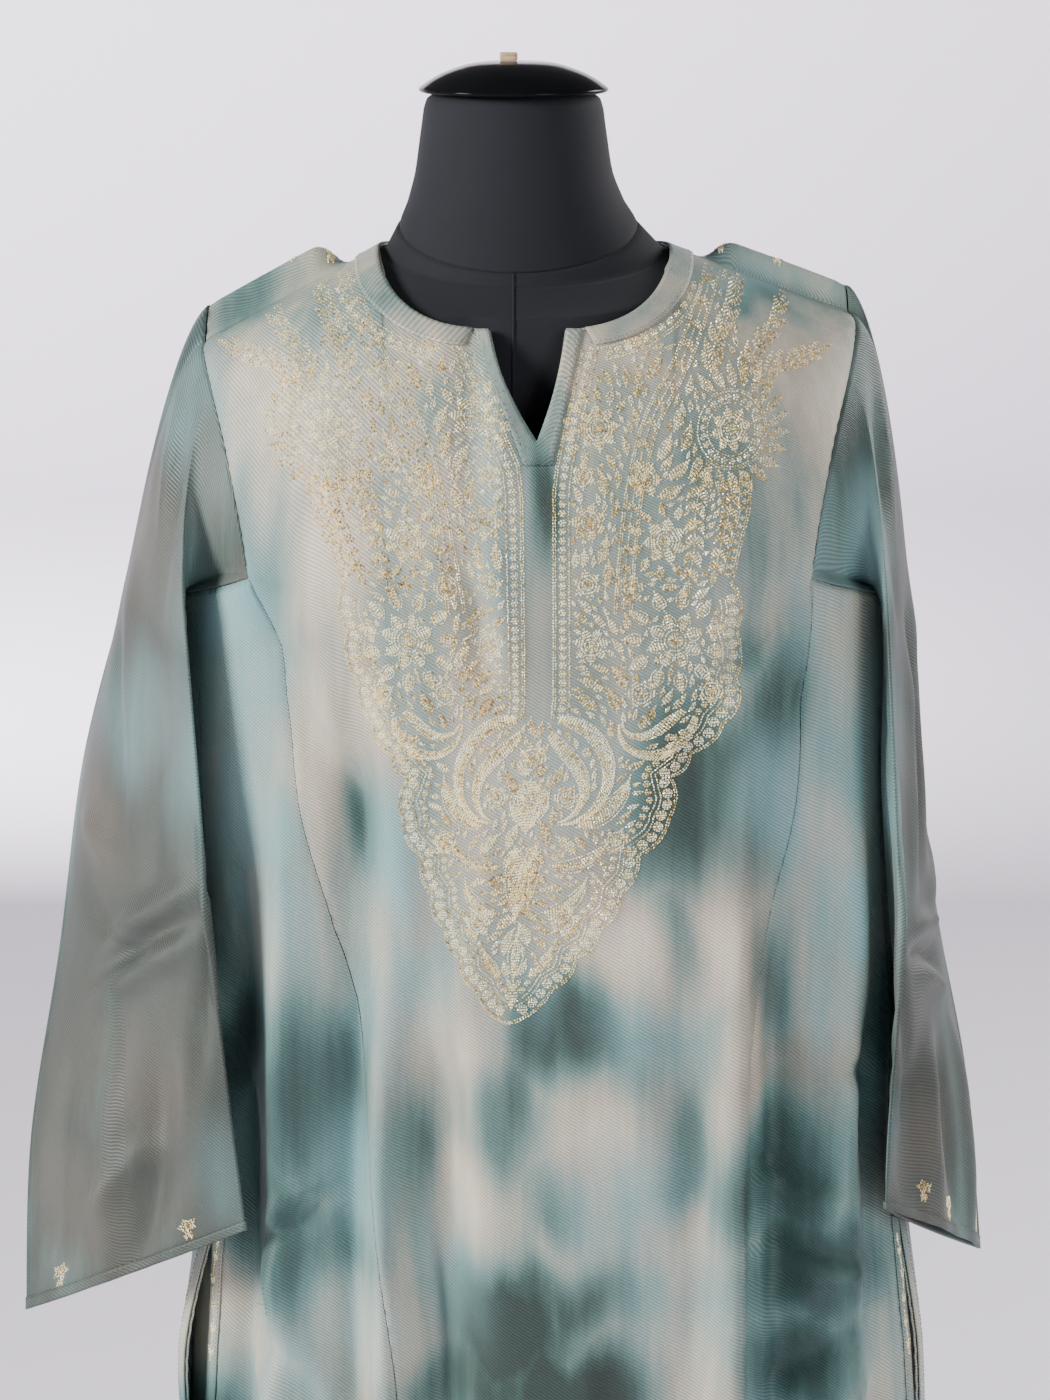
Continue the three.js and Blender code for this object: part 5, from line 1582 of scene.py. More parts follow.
def grains(name, stitches, surface=front_points, lift=0.1, size=(STITCH_LONG, STITCH_WIDE, STITCH_HIGH)):
    """Each stitch is a low pyramid on four base points: a front, a side, a back, a side.
    A row of the list is x, z, direction, length share, tone."""
    x, z, turn, share, tone = np.asarray(stitches, float).T
    here, across, up, out = front_frame(x, z, surface)
    along = unit(across * np.cos(turn)[:, None] + up * np.sin(turn)[:, None])
    aside = np.cross(out, along)
    ahead = along * (size[0] / 2 * share)[:, None]
    aside = aside * size[1] / 2
    base = here + out * (lift - STITCH_SUNK)
    peak = here + out * (lift + size[2]) + ahead * rng.uniform(-0.3, 0.3, (len(x), 1))
    corners = [base + ahead, base + aside, base - ahead, base - aside, peak]
    vertices = np.stack(corners, axis=1).reshape(-1, 3)
    pattern = np.array([(0, 1, 4), (1, 2, 4), (2, 3, 4), (3, 0, 4), (2, 1, 0), (3, 2, 0)])
    faces = (np.arange(len(x))[:, None, None] * 5 + pattern).reshape(-1, 3)
    piece = new_object(name, vertices, faces, smooth=False)
    layer = piece.data.attributes.new("tone", "FLOAT", "POINT")
    layer.data.foreach_set("value", np.repeat(tone, 5).astype(np.float32))
    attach(piece, "root")
    print(f"{name}: {len(x)} stitches")
    return piece

# %% Lines of stitches
def resample(path, step):
    """Places at even distances along a path, with the path's direction at each."""
    path = np.asarray(path, float)
    runs = np.concatenate([[0], np.cumsum(np.linalg.norm(np.diff(path, axis=0), axis=1))])
    count = max(2, int(round(runs[-1] / step)) + 1)
    at = np.linspace(0, runs[-1], count)
    x, z = np.interp(at, runs, path[:, 0]), np.interp(at, runs, path[:, 1])
    return x, z, np.arctan2(np.gradient(z), np.gradient(x))


def smooth_path(points, count=60):
    """A smooth curve through a few points."""
    points = np.asarray(points, float)
    table = np.concatenate([np.arange(len(points))[:, None], points], axis=1)
    t = np.linspace(0, len(points) - 1, count)
    return np.stack([read(table, t, 1), read(table, t, 2)], axis=-1)


def stitch_rows(x, z, turn, tone, share=1.0):
    """Stitches at places, with the small unevenness of handwork."""
    n = len(x)
    # The tone's wide random spread, read through the gold band, also scatters painted glints and painted
    # shade over the grains.
    rows = [x + rng.normal(0, 0.14, n), z + rng.normal(0, 0.14, n), turn + rng.normal(0, 0.14, n),
            share * rng.uniform(0.82, 1.12, n), np.clip(tone + rng.normal(0, 0.3, n), 0, 1)]
    return np.stack(rows, axis=-1)


def chain(path, tone=0.6, step=STEP):
    """One line of chain stitches."""
    x, z, turn = resample(path, step)
    return stitch_rows(x, z, turn, tone, 0.85)


def walked(x, z, turns, length):
    """A line that sets off at a place and takes one step along each direction in turn."""
    step = length / (len(turns) - 1)
    px = x + np.concatenate([[0], np.cumsum(np.cos(turns[1:]) * step)])
    pz = z + np.concatenate([[0], np.cumsum(np.sin(turns[1:]) * step)])
    return px, pz


def aside_of(x, z, turn, out):
    """Places moved to the left of their directions: x - out sin, z + out cos."""
    return np.stack([x - np.sin(turn) * out, z + np.cos(turn) * out], axis=-1)


def leaf(x, z, turn, length, width, tone=0.65, bend=0.0):
    """Rows beside a bent middle line; each row is as far out as the leaf is wide there:
    half width x sin(pi t^0.8)."""
    t = np.linspace(0, 1, max(4, int(length / 2) + 2))
    turned_by = turn + bend * (t - 0.3)
    px, pz = walked(x, z, turned_by, length)
    swell = width / 2 * np.sin(math.pi * t ** 0.8)
    rows = []
    count = max(1, int(width / ROW_APART / 2))
    for k in range(-count, count + 1):
        if count > 3 and abs(k) == count - 1:
            continue
        out = swell * k / (count + 0.4)
        keep = swell >= 0.35 * abs(k) * ROW_APART
        path = aside_of(px, pz, turned_by, out)[keep]
        if len(path) > 1:
            rows.append(chain(path, tone + 0.12 * math.cos(k)))
    return np.concatenate(rows)


def round_path(x, z, radius, start=0.0, end=2 * math.pi, count=40):
    """A circle or a part of one: x + r cos, z + r sin."""
    turn = np.linspace(start, end, count)
    return np.stack([x + radius * np.cos(turn), z + radius * np.sin(turn)], axis=-1)


def ring(x, z, radius, tone=0.6):
    """One line of chain stitches round a place."""
    return chain(round_path(x, z, radius), tone)


def dot(x, z, radius, tone=0.7):
    """Rings inside each other, down to a single stitch."""
    rows = [stitch_rows(np.array([x]), np.array([z]), np.array([0.6]), tone)]
    for r in np.arange(radius, 0.5, -ROW_APART):
        rows.append(ring(x, z, r - 0.2, tone))
    return np.concatenate(rows)


def flower(x, z, radius, petals, tone=0.7, turn=0.0):
    """Petals round a middle dot, with a ring of small stitches between."""
    rows = [dot(x, z, radius * 0.26, tone - 0.3), ring(x, z, radius * 0.38, tone - 0.15)]
    wide = 2 * math.pi * radius * 0.62 / petals
    for k in range(petals):
        a = turn + 2 * math.pi * k / petals
        rows.append(leaf(x + radius * 0.4 * math.cos(a), z + radius * 0.4 * math.sin(a), a, radius * 0.64,
                         wide * 1.05, tone + 0.1 * math.sin(3 * k)))
    return np.concatenate(rows)


def paisley(x, z, turn, length, width, side, tone=0.7):
    """A drop that curls over at its tip, in bands round an open eye."""
    rows = []
    t = np.linspace(0, 1, 40)
    curl = turn + side * 2.6 * t ** 1.6
    px, pz = walked(x, z, curl, length)
    swell = width / 2 * np.sin(math.pi * np.clip(t * 0.93 + 0.07, 0, 1) ** 0.62)
    for share in np.arange(1.0, 0.34, -ROW_APART / (width / 2)):
        for way in (-1, 1):
            path = aside_of(px, pz, curl, swell * share * way)
            rows.append(chain(path[swell * share > 0.6], tone + 0.2 * math.sin(share * 9)))
    rows.append(dot(px[12], pz[12], width * 0.1, tone - 0.3))
    return np.concatenate(rows)


def beads(path, apart, radius, tone=0.75):
    """Dots at even distances along a path."""
    x, z, _ = resample(path, apart)
    return np.concatenate([dot(a, b, radius, tone) for a, b in zip(x, z)])


def beside(path, out):
    """The path moved sideways: to the left of its direction by a positive distance."""
    x, z = np.asarray(path, float).T
    return aside_of(x, z, np.arctan2(np.gradient(z), np.gradient(x)), out)


def spray(path, leaves, length, width, tone=0.6):
    """A stem with leaves in pairs that point along it, and one leaf at its tip."""
    x, z, turn = resample(path, 1.0)
    rows = [chain(path, tone)]
    for k, at in enumerate(np.linspace(0.06, 0.9, leaves)):
        i = int(at * (len(x) - 1))
        size = length * (1 - 0.35 * at)
        for way in (-1, 1):
            rows.append(leaf(x[i], z[i], turn[i] + way * 0.75, size, width, tone + 0.1 * way, -way * 0.5))
    rows.append(leaf(x[-1], z[-1], turn[-1], length * 0.9, width, tone))
    return np.concatenate(rows)

# %% [markdown]
# ### The yoke's design
# One half is drawn from the middle line outwards and then mirrored, with each side's own
# small differences. A grid of square millimetres remembers what is covered, and leaves of
# three sizes fill what is left, as a worker fills the ground between the large motifs.

# %% The border
# Distance from the middle line and height, from the armhole side down to the point.
BORDER = [(118, 1204), (121, 1163), (113, 1124), (100, 1108), (84, 1093), (85, 1060), (69, 1037), (62, 1018),
          (50, 993), (40, 978), (27, 962), (14, 947), (0, 935)]
SCALLOPS = [(119, 1208), (122, 1178), (120, 1148), (112, 1122), (96, 1103), (84, 1090), (86, 1064),
            (70, 1040), (61, 1016), (50, 995), (37, 977), (25, 957), (0, 935)]
SCALLOP_OUT = 4.2


def scalloped(points, out):
    """Between each two points the line swings outwards by a half sine."""
    pieces = []
    for (x1, z1), (x2, z2) in zip(points[:-1], points[1:]):
        t = np.linspace(0, 1, 14)[:-1]
        long = math.hypot(x2 - x1, z2 - z1)
        away = out * np.sin(math.pi * t) ** 0.8
        across, down = (x2 - x1) / long, (z2 - z1) / long
        pieces.append(np.stack([lerp(x1, x2, t) - down * away, lerp(z1, z2, t) + across * away], axis=-1))
    return np.concatenate(pieces + [np.array([points[-1]], float)])


def neck_curve(out, side, start=0.04, end=0.20):
    """A line beside the neckline, as distances from the middle line and heights."""
    turn = np.linspace(start, end, 60) if side > 0 else np.linspace(0.5 - start, 0.5 - end, 60)
    x, rise, _ = neck_place(turn, out)
    return np.stack([np.abs(x - axis_x(1340)), z_at_rise(x, rise)], axis=-1)


def wreath(x, z, radius, count, long, wide, tone, start=0.0, end=2 * math.pi, lean=0.5):
    """Leaves that stand round a place and all lean the same way."""
    turns = np.linspace(start, end, count + 1)[:-1]
    return np.concatenate([leaf(x + radius * math.cos(a), z + radius * math.sin(a), a + lean, long, wide,
                                tone + 0.12 * math.sin(2.3 * k), -lean) for k, a in enumerate(turns)])

# %% The motifs of one half
def edges(side):
    """The border, and the lines along the neckline, the slit and the bare strip."""
    outer = scalloped(SCALLOPS, SCALLOP_OUT)
    rows = [chain(outer, 0.6), chain(beside(outer, -1.3), 0.4)]
    rows.append(beads(beside(outer, -5.6)[4:-4], 7.2, 2.9, 0.9))
    rows += [chain(beside(outer, -9.8)[3:-3], 0.5), chain(beside(outer, -12.6)[3:-3], 0.75)]
    rows.append(beads(beside(outer, -16.6)[8:-8], 5.4, 1.8, 0.6))
    rows += [chain(neck_curve(out, side), tone) for out, tone in ((18, 0.55), (25.5, 0.5), (27, 0.7))]
    rows.append(beads(neck_curve(21.8, side, 0.045, 0.195), 6.0, 2.0, 0.75))
    top = FACING_RIGHT_X - AXIS_X + 3 if side > 0 else AXIS_X - FACING_LEFT_X + 3
    slit = [(top, 1352), (11, 1279), (9, 1262), (9, 1128)]
    rows += [chain(beside(slit, out), tone) for out, tone in ((0, 0.7), (1.4, 0.5), (9.8, 0.55))]
    rows.append(beads(beside(slit, 5.6), 5.4, 2.0, 0.85))
    return rows


def ribbon(path, width, tone):
    """A band between two double lines, filled with small leaves in pairs."""
    rows = [chain(beside(path, out), tone) for out in (0, 1.3, width, width + 1.3)]
    middle = beside(path, width / 2 + 0.6)[2:-3]
    rows.append(spray(middle, int(len(path) / 4), width * 0.72, 3.0, tone - 0.15))
    return rows


def chest_rosette():
    """The rosette on the chest's corner with its rings, wreath and sprays."""
    x, z = 121, 1297
    rows = [flower(x, z, 12.5, 8, 0.75, 0.2), chain(round_path(x, z, 15.2), 0.5)]
    rows.append(beads(round_path(x, z, 18.2, 0, 6.1), 5.0, 1.7, 0.75))
    rows += [chain(round_path(x, z, 21.4), 0.55), chain(round_path(x, z, 22.8, -2.4, 2.2), 0.4)]
    rows.append(wreath(x, z, 24.5, 17, 14.0, 6.2, 0.55, -2.5, 2.3))
    rows.append(spray(smooth_path([(136, 1322), (150, 1331), (164, 1334), (178, 1337)]), 6, 12, 5, 0.55))
    rows.append(spray(smooth_path([(128, 1326), (138, 1341), (150, 1352), (156, 1364)]), 6, 12, 5, 0.45))
    rows.append(spray(smooth_path([(108, 1328), (112, 1346), (122, 1362), (128, 1378)]), 7, 12, 5, 0.5))
    tail = smooth_path([(132, 1270), (130, 1250), (124, 1230), (119, 1212)])
    rows += [chain(beside(tail, out), 0.5) for out in (-6, -4.6, 0, 1.4)]
    rows.append(beads(beside(tail, -2.2), 5.0, 1.4, 0.6))
    rows.append(spray(beside(tail, -11), 7, 10, 4.6, 0.4))
    rows.append(spray(smooth_path([(105, 1278), (98, 1254), (96, 1230), (92, 1210)]), 7, 12, 5.4, 0.5))
    return rows


# Distance from the middle line, height, radius, petals, tone, turn.
SMALL_BLOOMS = [
    (32, 1172, 10.5, 7, 0.9, 0.2),
    (31, 1246, 11, 7, 0.65, 0.4),
    (66, 1270, 10, 6, 0.6, 0.0),
    (30, 1209, 8.5, 6, 0.75, 0.7),
    (56, 1206, 9, 6, 0.7, 0.2),
    (62, 1142, 9, 6, 0.8, 0.0),
    (104, 1142, 8, 6, 0.75, 0.6),
    (60, 1352, 8, 6, 0.6, 0.3),
    (28, 1273, 7.5, 6, 0.7, 0.5),
]


def blooms(side):
    """The flowers between strip and border."""
    rows = [flower(83, 1174, 17, 8, 0.9, 0.3), wreath(83, 1174, 19.5, 11, 13, 8.5, 0.8, 0.2, 6.5, 0.15)]
    rows += [flower(78, 1234, 13, 7, 0.8, 0.5), wreath(78, 1234, 15, 9, 8, 5, 0.55, 0.4, 5.6)]
    high = 1303 - 3 * side
    rows += [flower(37, high, 13, 8, 0.75, 0.1), wreath(37, high, 15, 9, 9, 5, 0.6, 0.6, 4.6)]
    return rows + [flower(*small) for small in SMALL_BLOOMS]


def foot_of_yoke(side):
    """Paisleys and scrolls below the strip."""
    rows = [paisley(12, 1122, -0.45 - 0.05 * side, 84, 27, -1, 0.85)]
    rows.append(paisley(92, 1128, -2.1, 58, 22, -1, 0.75))
    rows += [leaf(30, 1060, 0.55, 46, 13, 0.8, 1.2), leaf(16, 1036, 0.1, 42, 10, 0.65, 1.35)]
    rows += [leaf(14, 1006, 0.4, 36, 9.5, 0.75, 1.4), flower(28, 1000, 9.5, 7, 0.85, 0.3)]
    rows += [leaf(9, 966, 0.8, 22, 7, 0.75, 0.6), flower(55, 1050, 8, 6, 0.8, 0.1)]
    rows.append(flower(22, 1078, 8, 6, 0.7))
    return rows


SWEEP = [(112, 1398), (100, 1370), (86, 1340), (66, 1306), (55, 1268), (49, 1226), (46, 1192)]


def half_design(side):
    """All motifs of one half. side is -1 for the left and 1 for the right."""
    sweep = smooth_path(SWEEP)
    rows = edges(side) + ribbon(sweep, 9.5, 0.55) + chest_rosette() + blooms(side) + foot_of_yoke(side)
    return np.concatenate(rows)

# %% Fill what is left
COVER_LOW = 920
COVER_HIGH = 1420
COVER_WIDE = 200
# How far the design's own lines, and the bands, reach out from the neckline.
NECK_LINES = 29
NECK_BAND_REACH = 16
# Length and width of the leaves, and how many places each pass tries.
FILL_PASSES = [(17.0, 7.2, 2200), (10.5, 4.8, 4000), (6.0, 3.0, 6000), (3.4, 2.2, 6000)]


def inside_yoke(dx, z):
    """Inside the border below the chest, between neckline and armhole side above it."""
    edge = np.array(BORDER)[::-1]
    lower = dx < np.interp(z, edge[:, 1], edge[:, 0]) - 13
    upper = dx < np.interp(z, [1190, 1240, 1290, 1340, 1385], [102, 112, 112, 126, 128])
    strip = np.interp(z, [935, 1120, 1130, 1262, 1279, 1352], [0, 0, 19, 19, 22, 40])
    neck_x, neck_rise, _ = neck_place(neck_turn_at(axis_x(z) + dx, NECK_LINES), NECK_LINES)
    below_neck = z < z_at_rise(neck_x, neck_rise)
    return np.where(z < 1200, lower, upper) & (dx > strip) & below_neck & (z > 950) & (z < 1386)


def cells(x, z):
    """The cell of each place, kept one away from the grid's edge."""
    i = np.clip(np.round(x).astype(int), 1, COVER_WIDE - 2)
    j = np.clip(np.round(z).astype(int) - COVER_LOW, 1, COVER_HIGH - COVER_LOW - 2)
    return i, j


def cover(covered, rows):
    """Marks the cell of each stitch and the eight round it."""
    i, j = cells(rows[:, 0], rows[:, 1])
    for a in (-1, 0, 1):
        for b in (-1, 0, 1):
            covered[i + a, j + b] = True


def fill_ground(rows, seed):
    """Tries places in a fixed random order. A leaf goes where nothing is in its way."""
    picks = np.random.default_rng(seed)
    covered = np.zeros((COVER_WIDE, COVER_HIGH - COVER_LOW), bool)
    cover(covered, rows)
    added = [rows]
    for long, wide, count in FILL_PASSES:
        tries = np.stack([picks.uniform(0, 130, count), picks.uniform(940, 1390, count)], axis=-1)
        tries = tries[inside_yoke(tries[:, 0], tries[:, 1])]
        along = np.arange(0, long, 1.0)
        for x, z in tries:
            turn = 1.2 + 0.9 * math.sin(x / 17) + 0.8 * math.cos(z / 23)
            if covered[cells(x + np.cos(turn) * along, z + np.sin(turn) * along)].any():
                continue
            one = leaf(x, z, turn, long, wide, 0.35 + 0.5 * picks.random(), 0.5)
            if covered[cells(one[:, 0], one[:, 1])].any():
                continue
            added.append(one)
            cover(covered, one)
    return np.concatenate(added)

# %% Stitch the yoke
def mirrored(rows, side):
    """Turns distances from the middle line into places across, on one side. The left half
    is a little wider at the chest and narrower at the foot than the right half."""
    rows = rows.copy()
    high = smoothstep(rows[:, 1], 1100, 1300)
    share = lerp(0.88, 1.05, high) if side < 0 else lerp(1.0, 0.95, high)
    if side < 0:
        rows[:, 2] = math.pi - rows[:, 2]
    rows[:, 0] = axis_x(rows[:, 1]) + side * rows[:, 0] * share
    return rows


def on_front(rows):
    """Drops stitches that fall past the shoulder seam, on the bands or off the panel."""
    x, z = rows[:, 0], rows[:, 1]
    rise = rise_at(x, z)
    inside = (x > NECK_LEFT_X - NECK_BAND_REACH) & (x < NECK_RIGHT_X + NECK_BAND_REACH)
    edge = neck_place(neck_turn_at(x, NECK_BAND_REACH), NECK_BAND_REACH)[1]
    keep = np.where(inside, rise < edge, rise < 0.985)
    return rows[keep & (z < shoulder_z(x) - 1.0)]


gold = {}
for side, name in ((-1, "gold_yoke_left"), (1, "gold_yoke_right")):
    rows = fill_ground(half_design(side), 21 + side)
    gold[name] = grains(name, on_front(mirrored(rows, side)))
middle = [leaf(0, 1090, -math.pi / 2, 34, 24, 0.85), leaf(-6, 1048, -1.45, 48, 15, 0.85, -0.2),
          leaf(8, 1050, -1.75, 42, 12, 0.65, 0.5), leaf(0, 990, -math.pi / 2, 27, 10, 0.8),
          leaf(0, 962, -math.pi / 2, 18, 7, 0.75), flower(0, 1103, 9, 7, 0.7)]
gold["gold_yoke_middle"] = grains("gold_yoke_middle", mirrored(np.concatenate(middle), 1))

# %% The gold finish
def make_gold():
    """Metal thread: per-stitch tone and slow clouds pick a colour on a band from deep brown to near white,
    partly the thread's own uneven tone, partly painted glint at the pale end and painted shade at the brown
    end.
    """
    finish, tree, shader = start_finish("gold_thread")
    place = node(tree, "TexCoord").outputs["Object"]
    tone = node(tree, "Attribute", attribute_name="tone").outputs["Fac"]
    tone_clouds = noise(tree, stretched(tree, place, 24, 24, 24), 1.0, 3.0, 0.6)
    cloud_share = math_node(tree, "MULTIPLY", tone_clouds, 0.7)
    level = math_node(tree, "ADD", math_node(tree, "MULTIPLY", tone, 0.75), cloud_share)
    # The near-white stop stands for painted glints on the metal and the deep brown one for painted shade
    # between grains; the stops between are the thread's own gold.
    colour = ramp(tree, math_node(tree, "SUBTRACT", level, 0.2), [
        (0.06, srgb(112, 80, 30)),
        (0.28, srgb(184, 150, 72)),
        (0.5, srgb(236, 212, 140)),
        (0.82, srgb(255, 250, 218)),
    ])
    tree.links.new(colour, shader.inputs["Base Color"])
    set_sockets(shader, {"Metallic": 0.3, "Roughness": 0.34})
    return finish


GOLD = make_gold()
for piece in gold.values():
    give(piece, GOLD)
print("gold on", len(gold), "pieces of the yoke")

# %% [markdown]
# ## Top stitching and small sprigs
# Turned hems and bands are held by a row of short stitches near their edge. A real sewing
# line is thread that dips in and out, so a row of small grains shows it better than a drawn
# line would. The same grains in gold make the sprigs on the cuffs, shoulders and pockets.

# %% Surfaces to stitch on
THREAD_STEP = 2.9
# Length, width and height of one stitch of sewing thread.
THREAD = (2.1, 0.95, 0.42)
ON_BAND = SEAM + TRIM + 0.1
NECK_ROUND = 600
FACING_LONG = 300


def on_neck(along, out):
    """Round the neckline, in millimetres of its whole round, and the distance from its edge."""
    return neck_points(np.asarray(along, float) / NECK_ROUND, out)


def on_facing(along, out):
    """The strip beside the slit, counted backwards along it so that it faces out."""
    return slit_facing(-np.asarray(along, float) / FACING_LONG, out)


def on_hem(along, z):
    """Round the body, counted backwards, in millimetres of a 300 mm radius, and the height."""
    return body_points(-np.asarray(along, float) / 300, z)


def on_roll(along, rise):
    """The back of the shoulders: millimetres to the left, and the rise in two hundredths."""
    return yoke_points(-np.asarray(along, float), np.asarray(rise, float) / 200, "back")


def on_sleeve(side):
    """The sleeve over millimetres round it and down from the armhole's foot, read off its
    grid by mixing the four nearest points. The right one is counted backwards."""
    grid = np.concatenate([sleeves[side], sleeves[side][:, :1]], axis=1)
    rows, columns = grid.shape[:2]
    way = hand(side)

    def surface(round_mm, down_mm):
        """The place's column and row on the grid, then a straight mix both ways."""
        turn = np.mod(way * np.asarray(round_mm, float) / SLEEVE_GIRTH, 1)
        share = ARMHOLE_V + np.asarray(down_mm, float) / SLEEVE_HANG * (1 - ARMHOLE_V)
        i = np.interp(turn, [*SLEEVE_TURNS, 1], np.arange(columns))
        j = np.interp(share, SLEEVE_VS, np.arange(rows))
        a, b = np.minimum(i.astype(int), columns - 2), np.minimum(j.astype(int), rows - 2)
        p, q = (i - a)[:, None], (j - b)[:, None]
        return lerp(lerp(grid[b, a], grid[b, a + 1], p), lerp(grid[b + 1, a], grid[b + 1, a + 1], p), q)

    return surface


def on_pocket(side, face):
    """A pocket's edge strip over millimetres across it and the height."""
    def surface(across, z):
        """The strip's u from the millimetres across and its v from the height."""
        share = (z - POCKET_LOW) / (POCKET_HIGH - POCKET_LOW)
        return pocket_band(hand(side, face) * np.asarray(across, float) / POCKET_BAND, share, side, face)

    return surface


def thread_row(across, along):
    """A row of stitches through places that differ in one or both values."""
    return chain(np.stack(np.broadcast_arrays(across, along), axis=-1).astype(float), 0.3, THREAD_STEP)

# %% Sew the rows
threads = {}


def sew(name, rows, surface, lift):
    """A row of thread on a surface, kept under its name."""
    threads[name] = grains(name, rows, surface, lift, THREAD)


ON_NECK = AT_NECK[0]
neck_from = neck_turn_at(FACING_LEFT_X) * NECK_ROUND
neck_to = (neck_turn_at(FACING_RIGHT_X) + 1) * NECK_ROUND
sew("thread_neck", thread_row(np.linspace(neck_from, neck_to, 240), NECK_BAND_TO - 2), on_neck, ON_NECK)
sew("thread_slit", thread_row(-np.linspace(4, FACING_LONG - 4, 120), 0.8), on_facing, ON_NECK)
sew("thread_hem", thread_row(-np.linspace(0, 600 * math.pi, 400), HEM_Z + 14), on_hem, 0.1)
for side in ("left", "right"):
    cuff_row = thread_row(np.linspace(0, SLEEVE_GIRTH, 120), SLEEVE_HANG - CUFF_BAND + 1.6)
    sew(f"thread_cuff_{side}", cuff_row, on_sleeve(side), ON_BAND)
    for face in ("front", "back"):
        heights = np.linspace(POCKET_LOW + 3, POCKET_HIGH - 3, 80)
        edge_row = thread_row(hand(side, face) * (POCKET_BAND - 2.0), heights)
        sew(f"thread_pocket_{face}_{side}", edge_row, on_pocket(side, face), ON_BAND)
POCKET_BAG_LEFT = [(-176, 730), (-160, 737), (-145, 743), (-148, 761)]
POCKET_BAG_RIGHT = [(217, 735), (228, 736), (239, 736)]
sew("thread_bag_left", chain(smooth_path(POCKET_BAG_LEFT), 0.3, THREAD_STEP), front_points, 0.1)
sew("thread_bag_right", chain(smooth_path(POCKET_BAG_RIGHT), 0.3, THREAD_STEP), front_points, 0.1)

# %% Sew the sprigs
def sprig(x, z, size, turn=0.0):
    """A small round flower with two leaves below it."""
    return np.concatenate([flower(x, z, size, 5, 0.7, turn),
                           leaf(x, z + size, 1.2, size * 1.5, size * 0.6, 0.6, 0.5),
                           leaf(x, z + size, 1.9, size * 1.5, size * 0.6, 0.6, -0.5)])


def edge_vine(side):
    """A stem up the pocket's front edge with leaves in pairs."""
    way = hand(side)
    stem = smooth_path([(way * 5, 690), (way * 7, 718), (way * 4, 742), (way * 7, 766)])
    return spray(stem, 5, 6, 2.6, 0.7)


# Along the surface, height or distance down it, size, turn.
SPRIGS = {
    "gold_cuff_left": [(163, 405, 4.6), (240, 408, 4.6, 0.6), (50, 400, 4.6)],
    "gold_cuff_right": [(-168, 396, 4.6), (-197, 404, 5.2, 0.4), (-247, 406, 4.6), (-50, 400, 4.6)],
    "gold_shoulders": [(-163, 172, 4.6), (-128, 176, 3.6, 0.5), (113, 176, 4.6), (136, 170, 3.6, 0.8)],
}
SPRIG_GROUND = {
    "gold_cuff_left": on_sleeve("left"),
    "gold_cuff_right": on_sleeve("right"),
    "gold_shoulders": on_roll,
}
small_gold = {}
for name, places in SPRIGS.items():
    rows = np.concatenate([sprig(*place) for place in places])
    small_gold[name] = grains(name, rows, SPRIG_GROUND[name])
drop = paisley(-191, 768, 1.75, 19, 8, -1, 0.7)
tail = chain([(-191, 768), (-192, 758), (-190, 748)], 0.6)
small_gold["gold_pocket_drop"] = grains("gold_pocket_drop", np.concatenate([drop, tail]))
for side in ("left", "right"):
    name = f"gold_pocket_{side}"
    small_gold[name] = grains(name, edge_vine(side), on_pocket(side, "front"), ON_BAND)
for piece in small_gold.values():
    give(piece, GOLD)

# %% [markdown]
# ### The form's front seam
# The form's cover is sewn in two halves, with one upright seam in front. It is a narrow
# ribbon that lies along the cover's own front line.

# %% Form seam
SEAM_RIDGE = 0.9


def form_seam():
    """The torso's front line, carried a little way to the left and right."""
    line = torso_grid()[3:, FORM_AROUND * 3 // 4]
    sides = np.array([-SEAM_RIDGE, 0, SEAM_RIDGE])
    return line[:, None, :] + sides[None, :, None] * np.array([1.0, 0, 0])


form_seam_ridge = cloth_wall("form_front_seam", form_seam(), 1, (0.45, -0.4))
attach(form_seam_ridge, "root")
give(form_seam_ridge, COVER)

# %% The thread's finish
def make_thread():
    """Matt sewing cotton in the cloth's deeper tone, lighter where it is rubbed."""
    finish, tree, shader = start_finish("sewing_cotton")
    place = node(tree, "TexCoord").outputs["Object"]
    tone_clouds = noise(tree, stretched(tree, place, 60, 60, 60), 1.0, 2.0, 0.6)
    colour = mix_colour(tree, tone_clouds, srgb(54, 66, 64), srgb(104, 114, 108))
    tree.links.new(colour, shader.inputs["Base Color"])
    set_sockets(shader, {"Roughness": 0.7, "Specular IOR Level": 0.3})
    return finish


SEWING = make_thread()
for piece in threads.values():
    give(piece, SEWING)
print(len(threads), "rows of thread")

# %% [markdown]
# ## Cut sizes
# A pheran's panels are not rectangles, so each cloth wall prints its flat area when it
# is made. The narrow strips are cut straight.

# %% [markdown]
# ## Studio
# A round pale studio surrounds the part: a floor that turns up into a wall far away, so
# that every side has the same quiet background. Large soft lights stand high on both sides
# and behind. One more faces away from the part and lights the wall behind it.

# %% Studio
STUDIO_RADIUS = 9000
STUDIO_CORNER = 1500
STUDIO_HIGH = 4200
STUDIO_AROUND = 96


def studio_profile():
    """A flat floor, a quarter round where it turns up, and an upright wall."""
    bend = np.linspace(0, math.pi / 2, 24)
    floor_r = [0, 2000, 5000]
    turn_r = STUDIO_RADIUS - STUDIO_CORNER + STUDIO_CORNER * np.sin(bend)
    r = np.concatenate([floor_r, turn_r, [STUDIO_RADIUS]])
    z = np.concatenate([[0, 0, 0], STUDIO_CORNER * (1 - np.cos(bend)), [STUDIO_HIGH]])
    return r, z


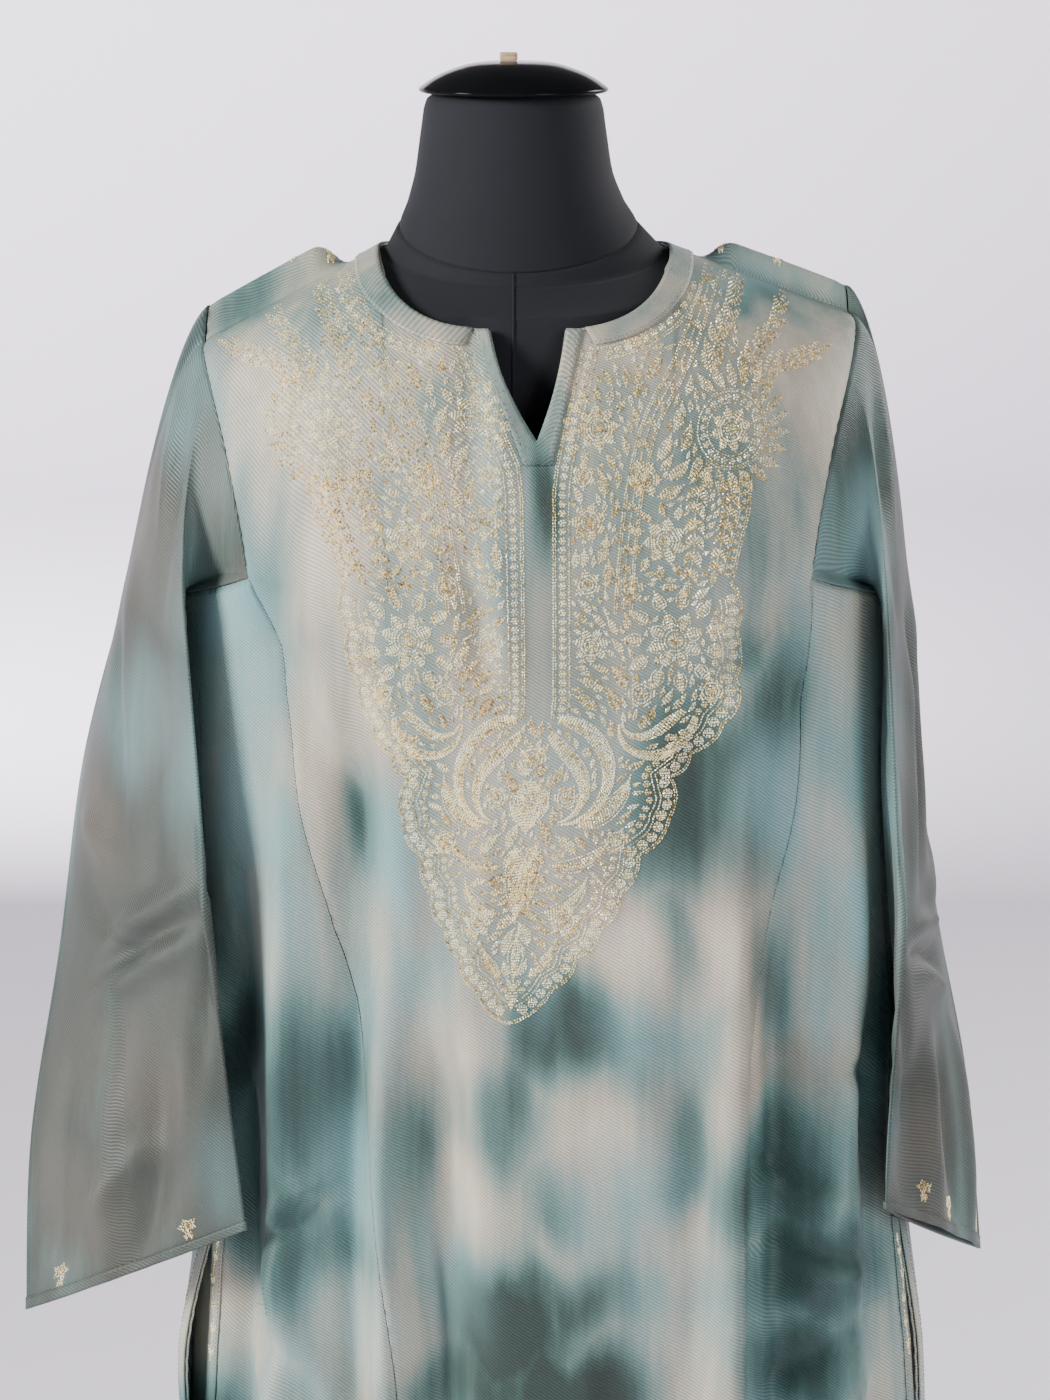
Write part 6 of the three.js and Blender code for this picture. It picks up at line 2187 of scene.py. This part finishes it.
def make_studio():
    """The profile swept round the middle, its faces turned inwards, and a fan on the floor."""
    r, z = studio_profile()
    rings = swept_round(r[1:], z[1:], STUDIO_AROUND)
    faces, _ = quads(len(rings), STUDIO_AROUND, True)
    vertices = np.concatenate([rings.reshape(-1, 3), [[0, 0, 0]]])
    i = np.arange(STUDIO_AROUND)
    fan = np.stack([np.full(STUDIO_AROUND, len(vertices) - 1), i, (i + 1) % STUDIO_AROUND], -1)
    return new_object("studio", vertices, faces[:, ::-1].tolist() + fan.tolist())


studio = make_studio()
studio_finish, _, studio_shader = start_finish("studio_paint")
set_sockets(studio_shader, {"Base Color": (0.88, 0.84, 0.92, 1), "Roughness": 0.9})
studio.data.materials.append(studio_finish)
print("studio", STUDIO_RADIUS * MM, "m in radius")

world = bpy.data.worlds.new("studio_air")
world.use_nodes = True
set_sockets(world.node_tree.nodes["Background"], {"Color": (0.98, 0.97, 1.0, 1), "Strength": 0.17})
bpy.context.scene.world = world


def soft_light(name, place, target, size, power, colour):
    """A square light that faces its target."""
    data = bpy.data.lights.new(name, "AREA")
    data.shape = "SQUARE"
    data.size = size
    data.energy = power
    data.color = colour
    lamp = bpy.data.objects.new(name, data)
    lamp.location = place
    away = np.array(target, float) - np.array(place, float)
    flat = math.hypot(away[0], away[1])
    lamp.rotation_euler = (math.atan2(flat, -away[2]), 0, math.atan2(away[1], away[0]) - math.pi / 2)
    bpy.context.scene.collection.objects.link(lamp)
    print(name, power, "W")


soft_light("key_light", (-3.5, -1.6, 2.5), (0, 0, 1.0), 1.2, 355, (1.0, 0.985, 0.97))
soft_light("fill_light", (2.4, -3.0, 2.0), (0, 0, 1.0), 1.6, 92, (1.0, 0.985, 0.98))
soft_light("back_light", (2.9, 2.0, 2.6), (0, 0, 1.0), 1.6, 130, (1.0, 0.99, 0.98))
soft_light("wall_light", (-1.5, 3.6, 2.6), (-1.5, 9.0, 2.4), 2.4, 640, (1.0, 0.97, 1.0))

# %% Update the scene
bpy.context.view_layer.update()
